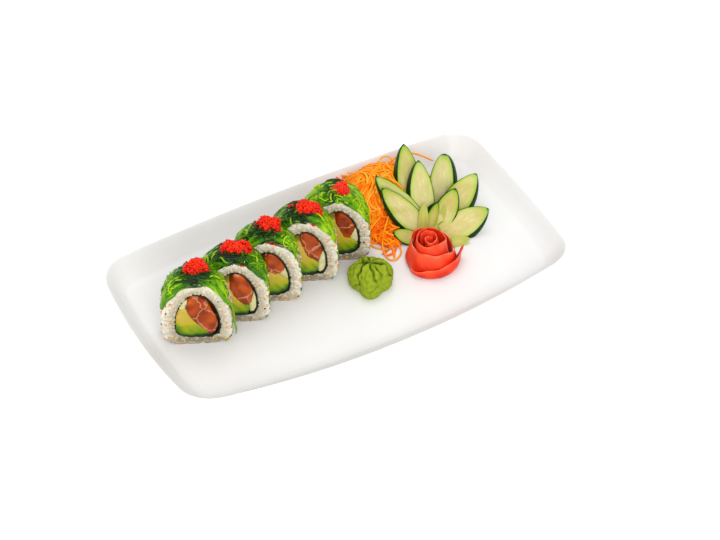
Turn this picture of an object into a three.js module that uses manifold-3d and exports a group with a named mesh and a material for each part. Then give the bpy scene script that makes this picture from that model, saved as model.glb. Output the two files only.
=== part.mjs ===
// Uramaki platter: five slices of an inside-out sushi roll on a rectangular porcelain plate, topped with
// seaweed salad and red flying-fish roe, beside a carrot nest, a cucumber flower, a rose of pickled ginger
// and a knob of wasabi. Millimetres, +Z up. The origin is on the table under the middle of the plate, +X
// runs along the plate, and the cut faces of the slices look towards -Y and -X.
import * as THREE from "three";
import { mergeVertices } from "three/addons/utils/BufferGeometryUtils.js";
import Module from "manifold-3d";

const wasm = await Module();
wasm.setup();

// Driving dimensions
const PLATE = {
  length: 280, width: 157.5, endBulge: 2.6, sideBulge: 8, cornerRadius: 22.8,
  floorTop: 6, cornerLift: 8.5, sideSteps: 6, endSteps: 4, cornerSteps: 5,
};
// The plate's wall as steps of [inset from the rim, height, share of the corners' lift], from the floor's
// edge over the rim and down the underside to the foot.
const PLATE_PROFILE = [
  [17, PLATE.floorTop, 0], [12.5, 6.8, 0.05], [7.5, 10.2, 0.4], [3, 15, 0.8], [1.2, 16.8, 1],
  [0.2, 16.9, 1], [0.6, 14.9, 0.95], [4.6, 11, 0.7], [10, 5.2, 0.25], [15, 1.6, 0],
  [16, 0, 0], [19, 0, 0], [19.8, 1.2, 0],
];
const GAP = 0.35; // clearance between pieces that touch
const REST = PLATE.floorTop + GAP; // height at which the food stands
const FACING = -0.51; // turn about Z of the row of slices, in radians
const ROLL = {
  depth: 16.8, height: 50.2, halfWidth: 21.75, waist: 20, footSquareness: 5, archPower: 2.1,
  stations: 32, grainRelief: 0.75,
};
const RING = {
  halfWidth: 14.4, waist: 16, bottom: 4.7, top: 43, footSquareness: 3.4, archPower: 1.85, noriThickness: 0.7,
};

// Each slice: the middle of its front foot and its turn; the sideways shift of the nori ring; how many
// steps of the outline the seaweed reaches down on the left and right, and how high it is heaped; the roe
// as x, y, width and height. Fillings are outlines on the face in mm from the middle of the foot: the
// avocado gives way to the salmon and the cucumber stick to both, and the nori ring trims all three.
const SLICES = [
  {
    at: [-104.1, -8.7], turn: 0.06, ringShift: 0.4, drape: [6, 5], heap: 1.6, roe: [1.2, 1.6, 17.5, 8.5],
    salmon: [
      [-5.3, 28], [-6, 33], [-3, 39], [2.5, 40], [7, 34], [12, 22],
      [13, 15], [11, 9.5], [8, 8], [3.4, 14], [-2, 21],
    ],
    avocado: [[-16, 27], [-5, 31], [3, 16], [9, 8], [9, 3], [-16, 3]],
    stick: [[-13, 29], [-7, 31], [-5, 41], [-13, 38]],
  },
  {
    at: [-75.1, -3.4], turn: 0.05, ringShift: 0.6, drape: [5, 6], heap: 1.2, roe: [1.8, 1.2, 19.5, 7],
    salmon: [[-2.5, 32], [0.5, 41], [4.4, 41], [10, 32], [11.8, 24], [10.4, 17], [7, 14], [3.5, 18], [0, 24]],
    avocado: [[-16, 33], [-3, 34], [2, 20], [8, 13], [9.5, 12], [8, 3], [-16, 3]],
    stick: [[9.5, 14], [12, 24], [17, 22], [16, 6], [10, 6]],
  },
  {
    at: [-49.0, 2.9], turn: 0.04, ringShift: 0.8, drape: [6, 5], heap: 1.6, roe: [1.8, 1.6, 16.5, 7.5],
    salmon: [[-1.5, 31], [0, 38.5], [3.8, 42], [10.3, 37.5], [12.3, 30], [10.1, 26], [5.9, 23.5], [2, 26]],
    avocado: [[-16, 33], [-2, 32], [2, 25], [7, 24], [12.5, 19], [17, 14], [13, 3], [-16, 3]],
    stick: [[8.5, 24], [13, 30], [17, 26], [17, 15], [12, 20]],
  },
  {
    at: [-20.2, 7.4], turn: 0.05, ringShift: 1.0, drape: [6, 5], heap: 1.1, roe: [3.4, 0.6, 17.5, 6],
    salmon: [[-1, 34], [-0.5, 40], [4, 43], [10, 38], [12.3, 26], [9, 17.5], [3, 21.5]],
    avocado: [[-16, 34], [-1, 34], [3, 21], [8.5, 16.5], [9.5, 14], [8, 3], [-16, 3]],
    stick: [[9.8, 16], [12.3, 25], [18, 22], [17, 6], [9.5, 6]],
  },
  {
    at: [6.7, 14.2], turn: 0.04, ringShift: 1.4, drape: [5, 6], heap: 1, roe: [3.4, 0.8, 13, 6.5],
    salmon: [[0.5, 33], [1, 38], [5.1, 42], [10.9, 36], [12.3, 27], [9, 19.5], [5.7, 20.5]],
    avocado: [[-16, 36], [0, 35], [5, 21], [8.5, 19.5], [14, 14.5], [17, 11], [12, 3], [-16, 3]],
    stick: [[9.4, 20], [12.5, 27], [18, 24], [16.5, 13]],
  },
];

// Cucumber petals: feet and tips in mm on the platter. A petal gives way to those listed before it.
const PETAL = { facing: [-0.35, -0.62, 0.7], thickness: 4.2, bend: 2, footShare: 0.2, fullness: 0.66 };
const LOW_FACING = [-0.2, -0.4, 0.9];
const PETALS = {
  cucumber_heart_left: { foot: [66, 6, 9], tip: [72, 14, 27], width: 7, thickness: 3.2, bend: 1 },
  cucumber_heart_middle: { foot: [70.5, 5.5, 9], tip: [79, 9, 28], width: 8, thickness: 3.2 },
  cucumber_heart_right: { foot: [75, 3, 9], tip: [84, 8, 24], width: 6, thickness: 3.2, bend: 1 },
  cucumber_right_low: { foot: [77, -1, 9], tip: [108, -6, 21], width: 19.5, facing: [-0.3, -0.62, 0.75] },
  cucumber_left_low: { foot: [68, 7, 8.5], tip: [51.5, 33, 33], width: 16 },
  cucumber_right_inner: { foot: [78, 4, 12], tip: [92, 9, 34], width: 15 },
  cucumber_right_high: { foot: [82, 8, 12], tip: [113, 18, 30], width: 19.5 },
  cucumber_middle: { foot: [73, 14, 13], tip: [80, 36, 42], width: 16.5 },
  cucumber_left_high: { foot: [69, 14, 12.5], tip: [52, 42, 36], width: 14.5 },
  cucumber_back_right: { foot: [86, 20, 11], tip: [100, 37, 38], width: 18, footShare: 0.3, fullness: 0.45 },
  cucumber_back_left: { foot: [73, 28, 11], tip: [77, 50, 46.5], width: 17.5, footShare: 0.3 },
  cucumber_under_left: { foot: [62, 2.5, 7.8], tip: [48, 12, 13], width: 11, facing: LOW_FACING },
  cucumber_under_right: { foot: [79, -10, 7.8], tip: [93, -15, 11], width: 9, facing: LOW_FACING },
};

// The carrot nest: two heaps and loops of loose shreds. Heights count from where the food stands.
const CARROT_HEAPS = [
  { x: 60, y: 49, reachX: 27, reachY: 24, height: 21, rows: 5, around: 18 },
  { x: 48, y: 20, reachX: 13, reachY: 17, height: 6, rows: 3, around: 12 },
];
const SHRED = { count: 5, radius: 0.85, step: 8.5 };
const CARROT_LOOPS = [
  [[50, 22, 12], [40, 12, 3], [36, 0, 0.5], [40, -5, 0.5], [47, 0, 0.6], [48, 10, 4]],
  [[46, 25, 11], [35, 22, 3], [33, 14, 0.5], [40, 6, 0.5], [50, 8, 3]],
  [[44, 50, 12], [38, 58, 7], [42, 68, 8], [50, 66, 12]],
  [[60, 50, 19], [66, 62, 21], [72, 62, 22], [74, 54, 20], [66, 46, 20]],
  [[52, 48, 16], [58, 60, 15], [61, 68, 15]],
];

// The ginger rose: sheets curled on a cone, from and to in radians round its axis, radii at their tops.
const ROSE = { x: 59.5, y: -15.5, height: 22, footRadius: 19.4, topRadius: 14.5, thickness: 1.5 };
const GINGER = {
  ginger_heart: { turns: [0.4, 8.6], radii: [1.9, 6.2], low: 3, tops: [19, 20.5], cone: 0.2, steps: 18 },
  ginger_collar: { turns: [1.4, 7.4], radii: [8.6, 9.4], tops: [21, 20.5], cone: 0.3, wave: 0.7, steps: 16 },
  ginger_left_wrap: {
    turns: [2.1, 5.9], radii: [11.4, 12.6], tops: [20, 13.5], cone: 0.42, wave: 0.6, steps: 12,
  },
  ginger_right_wrap: {
    turns: [3.4, 6], radii: [13.9, 14.8], tops: [7.5, 15.5], cone: 0.34, flare: 5.5, steps: 10,
  },
  ginger_back_wrap: { turns: [-0.15, 1.95], radii: [11.6, 11.6], tops: [15, 18], cone: 0.4, steps: 8 },
};

const WASABI = { x: 15.4, y: -16.2, radius: 14.4, height: 20.5, rows: 7, around: 24 };

// Colour and roughness of each kind of piece
const LOOKS = {
  porcelain: [0xf4f1ee, 0.18], rice: [0xf1ece0, 0.5], nori: [0x141a14, 0.6], salmon: [0xe0662c, 0.32],
  avocado: [0xc3bd3d, 0.4], cucumber_stick: [0xd9dcae, 0.35], seaweed: [0x4f9a16, 0.3], roe: [0xe8240c, 0.2],
  carrot: [0xf57b14, 0.4], cucumber: [0xd5dc8c, 0.35], ginger: [0xf26650, 0.35], wasabi: [0xa2b93b, 0.7],
};

const vec = (x, y, z) => new THREE.Vector3(x, y, z);
const signedPower = (value, power) => Math.sign(value) * Math.abs(value) ** power;
const random = () => THREE.MathUtils.seededRandom();

/** Closed skin over rings of points, with a cap at each end, or joined end to end when looped. */
function loft(rings, looped = false) {
  const around = rings[0].length;
  const position = rings.flat().flatMap((p) => [p.x, p.y, p.z]);
  const index = [];
  const bands = looped ? rings.length : rings.length - 1;
  for (let i = 0; i < bands; i++) {
    const a = i * around;
    const b = ((i + 1) % rings.length) * around;
    for (let j = 0; j < around; j++) {
      const k = (j + 1) % around;
      index.push(a + j, b + j, b + k, a + j, b + k, a + k);
    }
  }
  const cap = (ring, start, order) => {
    const middle = ring.reduce((sum, p) => sum.add(p), vec(0, 0, 0)).divideScalar(around);
    const hub = position.length / 3;
    position.push(middle.x, middle.y, middle.z);
    for (let j = 0; j < around; j++) {
      const pair = [start + j, start + ((j + 1) % around)];
      index.push(hub, pair[order], pair[1 - order]);
    }
  };
  if (!looped) {
    cap(rings[0], 0, 0);
    cap(rings.at(-1), (rings.length - 1) * around, 1);
  }
  const geometry = new THREE.BufferGeometry();
  geometry.setAttribute("position", new THREE.Float32BufferAttribute(position, 3));
  geometry.setIndex(index);
  return facingOut(geometry);
}

/** Turns every triangle round when the skin encloses a negative volume. */
function facingOut(geometry) {
  const index = [...geometry.index.array];
  const point = (i) => vec().fromBufferAttribute(geometry.attributes.position, i);
  let volume = 0;
  for (let i = 0; i < index.length; i += 3) {
    volume += point(index[i]).dot(point(index[i + 1]).cross(point(index[i + 2])));
  }
  if (volume < 0) index.reverse();
  geometry.setIndex(index);
  return geometry;
}

/** A copy of a geometry whose faces share their vertices. */
function merged(source) {
  const bare = source.clone();
  bare.deleteAttribute("normal");
  bare.deleteAttribute("uv");
  return mergeVertices(bare, 1e-4);
}

/** A geometry as a solid for joining and cutting. */
function toSolid(source) {
  const { attributes, index } = merged(source);
  return new wasm.Manifold(new wasm.Mesh({
    numProp: 3,
    vertProperties: new Float32Array(attributes.position.array),
    triVerts: new Uint32Array(index.array),
  }));
}

/** The largest body of a solid as a geometry; loose scraps of a cut are dropped. */
function toGeometry(solid) {
  const [largest] = solid.decompose().sort((a, b) => b.volume() - a.volume());
  const mesh = largest.getMesh();
  const geometry = new THREE.BufferGeometry();
  geometry.setAttribute("position", new THREE.Float32BufferAttribute(mesh.vertProperties, 3));
  geometry.setIndex([...mesh.triVerts]);
  return geometry;
}

/** A flat outline in x and z, given thickness along y. */
function slab(outline, front, back) {
  const shape = new THREE.Shape(outline.map(([x, z]) => new THREE.Vector2(x, z)));
  const geometry = new THREE.ExtrudeGeometry(shape, { depth: back - front, bevelEnabled: false });
  return geometry.rotateX(Math.PI / 2).translate(0, back, 0);
}

/** A strip of four-sided section along points, lying flat to the given normals. */
function strip(points, normals, width, thickness) {
  return loft(points.map((p, i) => {
    const along = points[Math.min(i + 1, points.length - 1)].clone().sub(points[Math.max(i - 1, 0)]);
    const side = along.cross(normals[i]).setLength(width / 2);
    const lift = normals[i].clone().setLength(thickness / 2);
    return [[-1, -1], [1, -1], [1, 1], [-1, 1]].map(
      ([s, l]) => p.clone().addScaledVector(side, s).addScaledVector(lift, l),
    );
  }));
}

// Plate
/** Radius and half angle of the arc that bulges out of a chord of the given half length. */
function bulgedSide(half, bulge) {
  const radius = (half * half + bulge * bulge) / (2 * bulge);
  return { radius, reach: Math.asin(half / radius) };
}

/** Points of the plate's inner frame with the headings of their normals: bulged sides, round corners. */
function plateStations() {
  const a = PLATE.length / 2 - PLATE.endBulge - PLATE.cornerRadius;
  const b = PLATE.width / 2 - PLATE.sideBulge - PLATE.cornerRadius;
  const corners = [[-a, -b], [a, -b], [a, b], [-a, b]];
  const side = { ...bulgedSide(a, PLATE.sideBulge), bulge: PLATE.sideBulge, steps: PLATE.sideSteps };
  const end = { ...bulgedSide(b, PLATE.endBulge), bulge: PLATE.endBulge, steps: PLATE.endSteps };
  const stations = [];
  corners.forEach(([x0, y0], i) => {
    const [x1, y1] = corners[(i + 1) % 4];
    const [here, next] = i % 2 ? [end, side] : [side, end];
    const heading = (i - 1) * (Math.PI / 2);
    const back = here.radius - here.bulge;
    const centre = [(x0 + x1) / 2 - Math.cos(heading) * back, (y0 + y1) / 2 - Math.sin(heading) * back];
    for (let k = 0; k <= here.steps; k++) {
      const turn = heading + here.reach * ((2 * k) / here.steps - 1);
      const x = centre[0] + here.radius * Math.cos(turn);
      const y = centre[1] + here.radius * Math.sin(turn);
      stations.push({ x, y, turn });
    }
    const from = heading + here.reach;
    const to = heading + Math.PI / 2 - next.reach;
    for (let k = 1; k < PLATE.cornerSteps; k++) {
      stations.push({ x: x1, y: y1, turn: from + ((to - from) * k) / PLATE.cornerSteps });
    }
  });
  return stations;
}

/** The plate: its wall's profile carried round the outline, lifted towards the corners. */
function plate() {
  const stations = plateStations();
  return loft(PLATE_PROFILE.map(([inset, z, lift]) => stations.map(({ x, y, turn }) => {
    const px = x + (PLATE.cornerRadius - inset) * Math.cos(turn);
    const py = y + (PLATE.cornerRadius - inset) * Math.sin(turn);
    const cornerness = ((4 * Math.abs(px * py)) / (PLATE.length * PLATE.width)) ** 2.5;
    return vec(px, py, z + lift * cornerness * PLATE.cornerLift);
  })));
}

// Roll slices
/** Evenly spaced points of a flat-footed arch, from its top round: a round arch over a squared foot. */
function archOutline({ halfWidth, waist, top, bottom, footSquareness, archPower }, shift, count) {
  const dense = [];
  const steps = 240;
  for (let i = 0; i < steps; i++) {
    const t = (2 * Math.PI * i) / steps + Math.PI / 2;
    const upper = Math.sin(t) >= 0;
    const power = 2 / (upper ? archPower : footSquareness);
    const reach = upper ? top - waist : waist - bottom;
    const x = shift + halfWidth * signedPower(Math.cos(t), power);
    dense.push(vec(x, 0, waist + reach * signedPower(Math.sin(t), power)));
  }
  return new THREE.CatmullRomCurve3(dense, true).getSpacedPoints(count).slice(0, count);
}

/** The slice's outer outline. */
const outerOutline = () => archOutline({ ...ROLL, top: ROLL.height, bottom: 0 }, 0, ROLL.stations);

/** The outline round the fillings, drawn in by an inset. */
const ringOutline = (slice, inset, count = ROLL.stations) => archOutline({
  ...RING, halfWidth: RING.halfWidth - inset, top: RING.top - inset, bottom: RING.bottom + inset,
}, slice.ringShift, count);

/** The rice: a thick band between the two outlines, its skin pushed in by grain-sized bumps. */
function rice(slice) {
  const inner = ringOutline(slice, 0);
  const half = ROLL.depth / 2;
  const dip = () => random() * ROLL.grainRelief;
  return loft(outerOutline().map((outer, i) => {
    const between = (share, y) => {
      const p = outer.clone().lerp(inner[i], share).setY(y);
      return p.setZ(p.z < 1.5 ? 0 : p.z);
    };
    return [
      between(0.12 + 0.04 * random(), -half + dip()),
      between(0.12 * random(), 0),
      between(0.12 + 0.04 * random(), half - dip()),
      between(0.55, half - dip()),
      between(1, half - 0.8),
      between(1, -half + 0.8),
      between(0.55, -half + dip()),
    ];
  }), true);
}

/** The nori: a thin sheet rolled round the fillings. */
function nori(slice) {
  const inner = ringOutline(slice, GAP + RING.noriThickness);
  const half = ROLL.depth / 2 - 0.5;
  const at = (p, y) => p.clone().setY(y);
  return loft(ringOutline(slice, GAP).map((outer, i) => [
    at(outer, -half), at(outer, half), at(inner[i], half), at(inner[i], -half),
  ]), true);
}

/** A flat outline pushed outwards all round by a distance. */
function grown(outline, by) {
  const at = (i) => outline[(i + outline.length) % outline.length];
  const area = outline.reduce((sum, [x, z], i) => sum + x * at(i + 1)[1] - at(i + 1)[0] * z, 0);
  const outward = (i) => {
    const edge = new THREE.Vector2(at(i + 1)[1] - at(i)[1], at(i)[0] - at(i + 1)[0]);
    return edge.normalize().multiplyScalar(Math.sign(area));
  };
  return outline.map(([x, z], i) => {
    const out = outward(i - 1).add(outward(i));
    const reach = (2 * by) / Math.max(1, out.lengthSq());
    return [x + reach * out.x, z + reach * out.y];
  });
}

/** The fillings of one slice, each cut to the nori round it and to the fillings already in place. */
function fillings(slice) {
  const half = ROLL.depth / 2;
  const clearOfNori = 2 * GAP + RING.noriThickness + 0.15;
  const inside = ringOutline(slice, clearOfNori, 26).map((p) => [p.x, p.z]);
  const room = toSolid(slab(inside, -half + 0.3, half - 0.3));
  const cut = (outline, ...others) => others.reduce(
    (rest, other) => rest.subtract(toSolid(slab(grown(other, GAP), -half, half))),
    toSolid(slab(outline, -half, half)).intersect(room),
  );
  const { salmon, avocado, stick } = slice;
  return { salmon: cut(salmon), avocado: cut(avocado, salmon), cucumber_stick: cut(stick, salmon, avocado) };
}

/** Outline points and outward directions by step: positive runs down the left of the face. */
function archSteps() {
  const outline = outerOutline();
  const at = (i) => outline[(i + outline.length) % outline.length];
  const outwards = (i) => {
    const along = at(i + 1).clone().sub(at(i - 1));
    return vec(along.z, 0, -along.x).normalize();
  };
  return { at, outwards };
}

/** Height of the seaweed above the rice, from the top of the arch (share 0) to the end of its drape (1). */
const seaweedHeight = (slice, share) => 1.3 + 3.3 * slice.heap * Math.max(0, 1 - share * share * 1.8);

/** The seaweed salad: a ridged saddle over the arch, with a loose strand fused on each flank. */
function seaweed(slice) {
  const { at, outwards } = archSteps();
  const [left, right] = slice.drape;
  const share = (i) => Math.abs(i) / Math.max(left, right);
  const half = ROLL.depth / 2 - 0.2;
  const ridges = Array.from({ length: 5 }, () => random() * 6);
  const rings = [];
  for (let i = -right; i <= left; i++) {
    const lift = (h, y) => at(i).clone().addScaledVector(outwards(i), GAP + h).setY(y);
    const high = seaweedHeight(slice, share(i));
    const edge = half - (1 + random()) * Math.max(0, share(i) - 0.4);
    const crest = (k) => high * (0.84 + 0.3 * Math.sin(ridges[k] + i * 1.1) + 0.12 * random());
    rings.push([
      lift(0, edge),
      lift(0, -edge),
      lift(high * 0.45, -edge - 0.3 * random()),
      lift(crest(0), -half * 0.7),
      lift(crest(1), -half * 0.36),
      lift(crest(2), 0),
      lift(crest(3), half * 0.36),
      lift(crest(4) * 0.85, half * 0.7),
      lift(high * 0.4, edge),
    ]);
  }
  const strand = (first, last, y) => {
    const count = Math.abs(last - first) + 1;
    const steps = Array.from({ length: count }, (_, k) => first + k * Math.sign(last - first));
    const points = steps.map((i) => at(i).clone()
      .addScaledVector(outwards(i), GAP + 0.5 + 0.7 * seaweedHeight(slice, share(i)))
      .setY(y + 1.5 * Math.sin(i * 1.3 + y)));
    return toSolid(strip(points, steps.map(outwards), 2.2, 1.5));
  };
  return toSolid(loft(rings)).add(strand(2, left + 1, -4.2)).add(strand(-right - 1, -3, -2.5));
}

/** Everything under a saddle that runs at the given height over the arch. */
function underSaddle(height) {
  const { at, outwards } = archSteps();
  const lifted = Array.from({ length: ROLL.stations }, (_, i) => {
    const out = outwards(i);
    return [at(i).x + out.x * height, Math.max(0, at(i).z) + Math.max(0, out.z) * height];
  });
  return toSolid(slab(lifted, -ROLL.depth, ROLL.depth));
}

/** The roe, a low bumpy mound, and the seaweed with the pocket that the roe fills. */
function roeInPocket(slice, salad) {
  const [x, y, width, height] = slice.roe;
  const floor = GAP + 0.65 * seaweedHeight(slice, 0);
  const [reachX, reachY] = [width / 2 - 0.6, 5.4];
  const column = (grow) => toSolid(new THREE.CylinderGeometry(1, 1, 30, 10).rotateX(Math.PI / 2)
    .scale(reachX + grow, reachY + grow, 1).translate(x, y, ROLL.height + 8));
  const bumpy = merged(new THREE.SphereGeometry(1, 14, 6).rotateX(Math.PI / 2));
  const point = bumpy.attributes.position;
  for (let i = 0; i < point.count; i++) {
    const bump = i % 2 ? 1.08 : 0.9 + 0.08 * random();
    point.setXYZ(i, point.getX(i) * bump, point.getY(i) * bump, point.getZ(i) * bump);
  }
  bumpy.scale(reachX, reachY, height - 0.6).translate(x, y, ROLL.height + floor - 0.6);
  const roe = toSolid(bumpy).subtract(underSaddle(floor + GAP)).intersect(column(0.9));
  return { roe, seaweed: salad.subtract(column(0.9 + GAP).subtract(underSaddle(floor))) };
}

/** The pieces of one slice, placed on the plate. */
function slicePieces(slice) {
  const pieces = {
    rice: rice(slice),
    nori: nori(slice),
    ...Object.fromEntries(Object.entries(fillings(slice)).map(([name, solid]) => [name, toGeometry(solid)])),
  };
  const topping = roeInPocket(slice, seaweed(slice));
  pieces.seaweed = toGeometry(topping.seaweed);
  pieces.roe = toGeometry(topping.roe);
  for (const geometry of Object.values(pieces)) {
    geometry.translate(0, ROLL.depth / 2, 0).rotateZ(FACING + slice.turn).translate(...slice.at, REST);
  }
  return pieces;
}

// Garnish
/** The wasabi: a pinched knob with a pointed front and folds running down from its top. */
function wasabi() {
  const { x, y, radius, height, rows, around } = WASABI;
  const rings = [];
  for (let i = 0; i <= rows; i++) {
    const tilt = 0.1 + ((Math.PI * 0.64 - 0.1) * i) / rows;
    rings.push(Array.from({ length: around }, (_, j) => {
      const turn = (2 * Math.PI * j) / around;
      const fold = 0.08 * Math.cos(turn * 8 + 0.6) * Math.sin(tilt) ** 2 + 0.04 * Math.cos(turn * 3 - 1);
      const point = 0.15 * Math.max(0, Math.cos(turn + Math.PI / 2 - FACING)) ** 8;
      const out = radius * (1 + fold) * (1 + point) * Math.sin(tilt);
      const high = height * (0.3 + 0.7 * Math.cos(tilt)) * (1 + 0.04 * Math.cos(turn * 4));
      const lift = i === rows ? 0 : Math.max(0.4, high);
      return vec(x + out * Math.cos(turn), y + out * Math.sin(turn), REST + lift);
    }));
  }
  return loft(rings);
}

/** One curled slice of ginger: a sheet on a cone round the rose's axis, whose end may flare outwards. */
function gingerSheet({ turns, radii, low = 0, tops, cone, flare = 0, wave = 0, steps }) {
  const { lerp } = THREE.MathUtils;
  const rows = 3;
  const rings = [];
  for (let i = 0; i <= steps; i++) {
    const share = i / steps;
    const turn = lerp(...turns, share);
    const top = lerp(...tops, share) + wave * Math.sin(turn * 3);
    const levels = Array.from({ length: rows + 1 }, (_, j) => {
      const z = lerp(low, top, j / rows);
      const coned = lerp(...radii, share) * (1 + cone * (1 - z / ROSE.height) ** 1.2);
      return { z, out: coned + flare * share ** 4 * (j / rows) ** 2 };
    });
    const place = ({ z, out }, side) => {
      const radius = out + (side * ROSE.thickness) / 2;
      return vec(ROSE.x + radius * Math.cos(turn), ROSE.y + radius * Math.sin(turn), REST + z);
    };
    const outside = levels.map((level) => place(level, 1));
    const inside = levels.map((level) => place(level, -1));
    rings.push([...outside, ...inside.reverse()]);
  }
  return loft(rings);
}

/** The room the ginger rose stands in. */
const roseRoom = () => toSolid(
  new THREE.CylinderGeometry(ROSE.topRadius, ROSE.footRadius, 30, 20).rotateX(Math.PI / 2)
    .translate(ROSE.x, ROSE.y, REST + 14),
);

/**
 * One cucumber petal: a leaf-shaped slice from its foot to its tip, turned to face the given way. Its foot
 * is cut across at footShare of the whole leaf, and a low fullness makes it blunt.
 */
function petal({ foot, tip, width, facing, bend, thickness, footShare, fullness }, grow) {
  const start = vec(...foot);
  const axis = vec(...tip).sub(start);
  const length = axis.length();
  axis.normalize();
  const normal = vec(...facing).projectOnPlane(axis).normalize();
  const side = axis.clone().cross(normal);
  const steps = 6;
  const rings = [];
  for (let i = 0; i <= steps; i++) {
    const share = i / steps;
    const reach = Math.sin(Math.PI * (footShare + (0.99 - footShare) * share)) ** fullness;
    const half = Math.max(0.7, (width / 2) * reach) + grow;
    const thick = (thickness / 2) * (0.55 + 0.45 * reach) + grow;
    const middle = start.clone()
      .addScaledVector(axis, length * share + grow * (share < 0.5 ? -1 : 1))
      .addScaledVector(normal, -bend * Math.sin(Math.PI * share));
    rings.push([[-0.9, 1], [0, 1.12], [0.9, 1], [1, -0.6], [0, -1], [-1, -0.6]].map(
      ([s, n]) => middle.clone().addScaledVector(side, s * half).addScaledVector(normal, n * thick),
    ));
  }
  return toSolid(loft(rings));
}

/** The petals, each cut clear of the plate, the rose and the petals already placed. */
function petals() {
  const taken = [toSolid(plate()).translate([0, 0, GAP]), roseRoom()];
  const solids = {};
  for (const [name, shape] of Object.entries(PETALS)) {
    const spec = { ...PETAL, ...shape };
    solids[name] = taken.reduce((rest, other) => rest.subtract(other), petal(spec, 0));
    taken.push(petal(spec, GAP));
  }
  return { solids, taken };
}

/** Height of the carrot's heaps over the plate at a point. */
const heapHeight = (px, py) => Math.max(...CARROT_HEAPS.map(({ x, y, reachX, reachY, height }) => {
  const out = ((px - x) / reachX) ** 2 + ((py - y) / reachY) ** 2;
  return height * Math.sqrt(Math.max(0, 1 - out));
}));

/** One of the carrot's heaps: a bumpy dome standing on the plate. */
function heap({ x, y, reachX, reachY, height, rows, around }) {
  const rings = [];
  for (let i = 0; i <= rows; i++) {
    const tilt = 0.12 + ((Math.PI / 2 - 0.12) * i) / rows;
    rings.push(Array.from({ length: around }, (_, j) => {
      const turn = (2 * Math.PI * j) / around;
      const bump = 1 + 0.09 * Math.sin(turn * 5 + i * 2.1) + 0.08 * (random() - 0.5);
      const out = bump * Math.sin(tilt);
      const lift = i === rows ? 0 : height * Math.cos(tilt) * bump;
      return vec(x + reachX * out * Math.cos(turn), y + reachY * out * Math.sin(turn), REST + lift);
    }));
  }
  return toSolid(loft(rings));
}

/** A shred of carrot: a three-sided rod through points. */
function shred(points) {
  const curve = new THREE.CatmullRomCurve3(points);
  const smooth = curve.getSpacedPoints(Math.max(4, Math.round(curve.getLength() / SHRED.step)));
  return toSolid(loft(smooth.map((p, i) => {
    const ahead = smooth[Math.min(i + 1, smooth.length - 1)];
    const along = ahead.clone().sub(smooth[Math.max(i - 1, 0)]).normalize();
    const side = along.clone().cross(vec(0, 0, 1)).setLength(SHRED.radius);
    const lift = side.clone().cross(along);
    return [-0.5, 1 / 6, 5 / 6].map((turn) => p.clone()
      .addScaledVector(side, Math.cos(turn * Math.PI)).addScaledVector(lift, Math.sin(turn * Math.PI)));
  })));
}

/** A loose shred that curls over the heaps round a random centre. */
function heapedShred() {
  const [main] = CARROT_HEAPS;
  const heading = random() * 2 * Math.PI;
  const out = 0.35 + 0.5 * random();
  const x = main.x + main.reachX * out * Math.cos(heading);
  const y = main.y + main.reachY * out * Math.sin(heading);
  const radius = 7 + 9 * random();
  const sweep = 1.6 + 2.2 * random();
  const begin = random() * 2 * Math.PI;
  return shred(Array.from({ length: 6 }, (_, i) => {
    const turn = begin + (sweep * i) / 5;
    const px = x + radius * Math.cos(turn);
    const py = y + radius * Math.sin(turn);
    return vec(px, py, REST + Math.max(0.5, heapHeight(px, py) + 0.6));
  }));
}

/** The carrot: bumpy heaps with shreds fused on, cut clear of the petals, the rose and the plate. */
function carrot(taken) {
  let solid = CARROT_HEAPS.map(heap).reduce((sum, other) => sum.add(other));
  for (let k = 0; k < SHRED.count; k++) solid = solid.add(heapedShred());
  for (const loop of CARROT_LOOPS) solid = solid.add(shred(loop.map(([x, y, z]) => vec(x, y, REST + z))));
  return taken.reduce((rest, other) => rest.subtract(other), solid);
}

// The platter
const platter = new THREE.Group();

/** Adds one named piece with its colour. */
function add(name, geometry, look) {
  const [color, roughness] = LOOKS[look];
  const mesh = new THREE.Mesh(geometry, new THREE.MeshStandardMaterial({ color, roughness }));
  mesh.name = name;
  platter.add(mesh);
}

add("plate", plate(), "porcelain");
SLICES.forEach((slice, i) => {
  THREE.MathUtils.seededRandom(11 + i);
  for (const [piece, geometry] of Object.entries(slicePieces(slice))) {
    add(`slice_${i + 1}_${piece}`, geometry, piece);
  }
});
THREE.MathUtils.seededRandom(5);
const flower = petals();
for (const [name, solid] of Object.entries(flower.solids)) add(name, toGeometry(solid), "cucumber");
add("carrot_nest", toGeometry(carrot(flower.taken)), "carrot");
for (const [name, sheet] of Object.entries(GINGER)) add(name, gingerSheet(sheet), "ginger");
add("wasabi", wasabi(), "wasabi");

export default platter;
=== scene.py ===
"""The looks of a platter of uramaki sushi: five slices with seaweed salad and roe, and their garnishes.

Sizes are in millimetres until a mesh is made. +X runs along the plate and +Z is up. A slice is built in a
frame of its own, with x to the right of its cut face, y away from the viewer and z up from its foot.
"""

import logging
from dataclasses import dataclass
from enum import Enum

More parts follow.
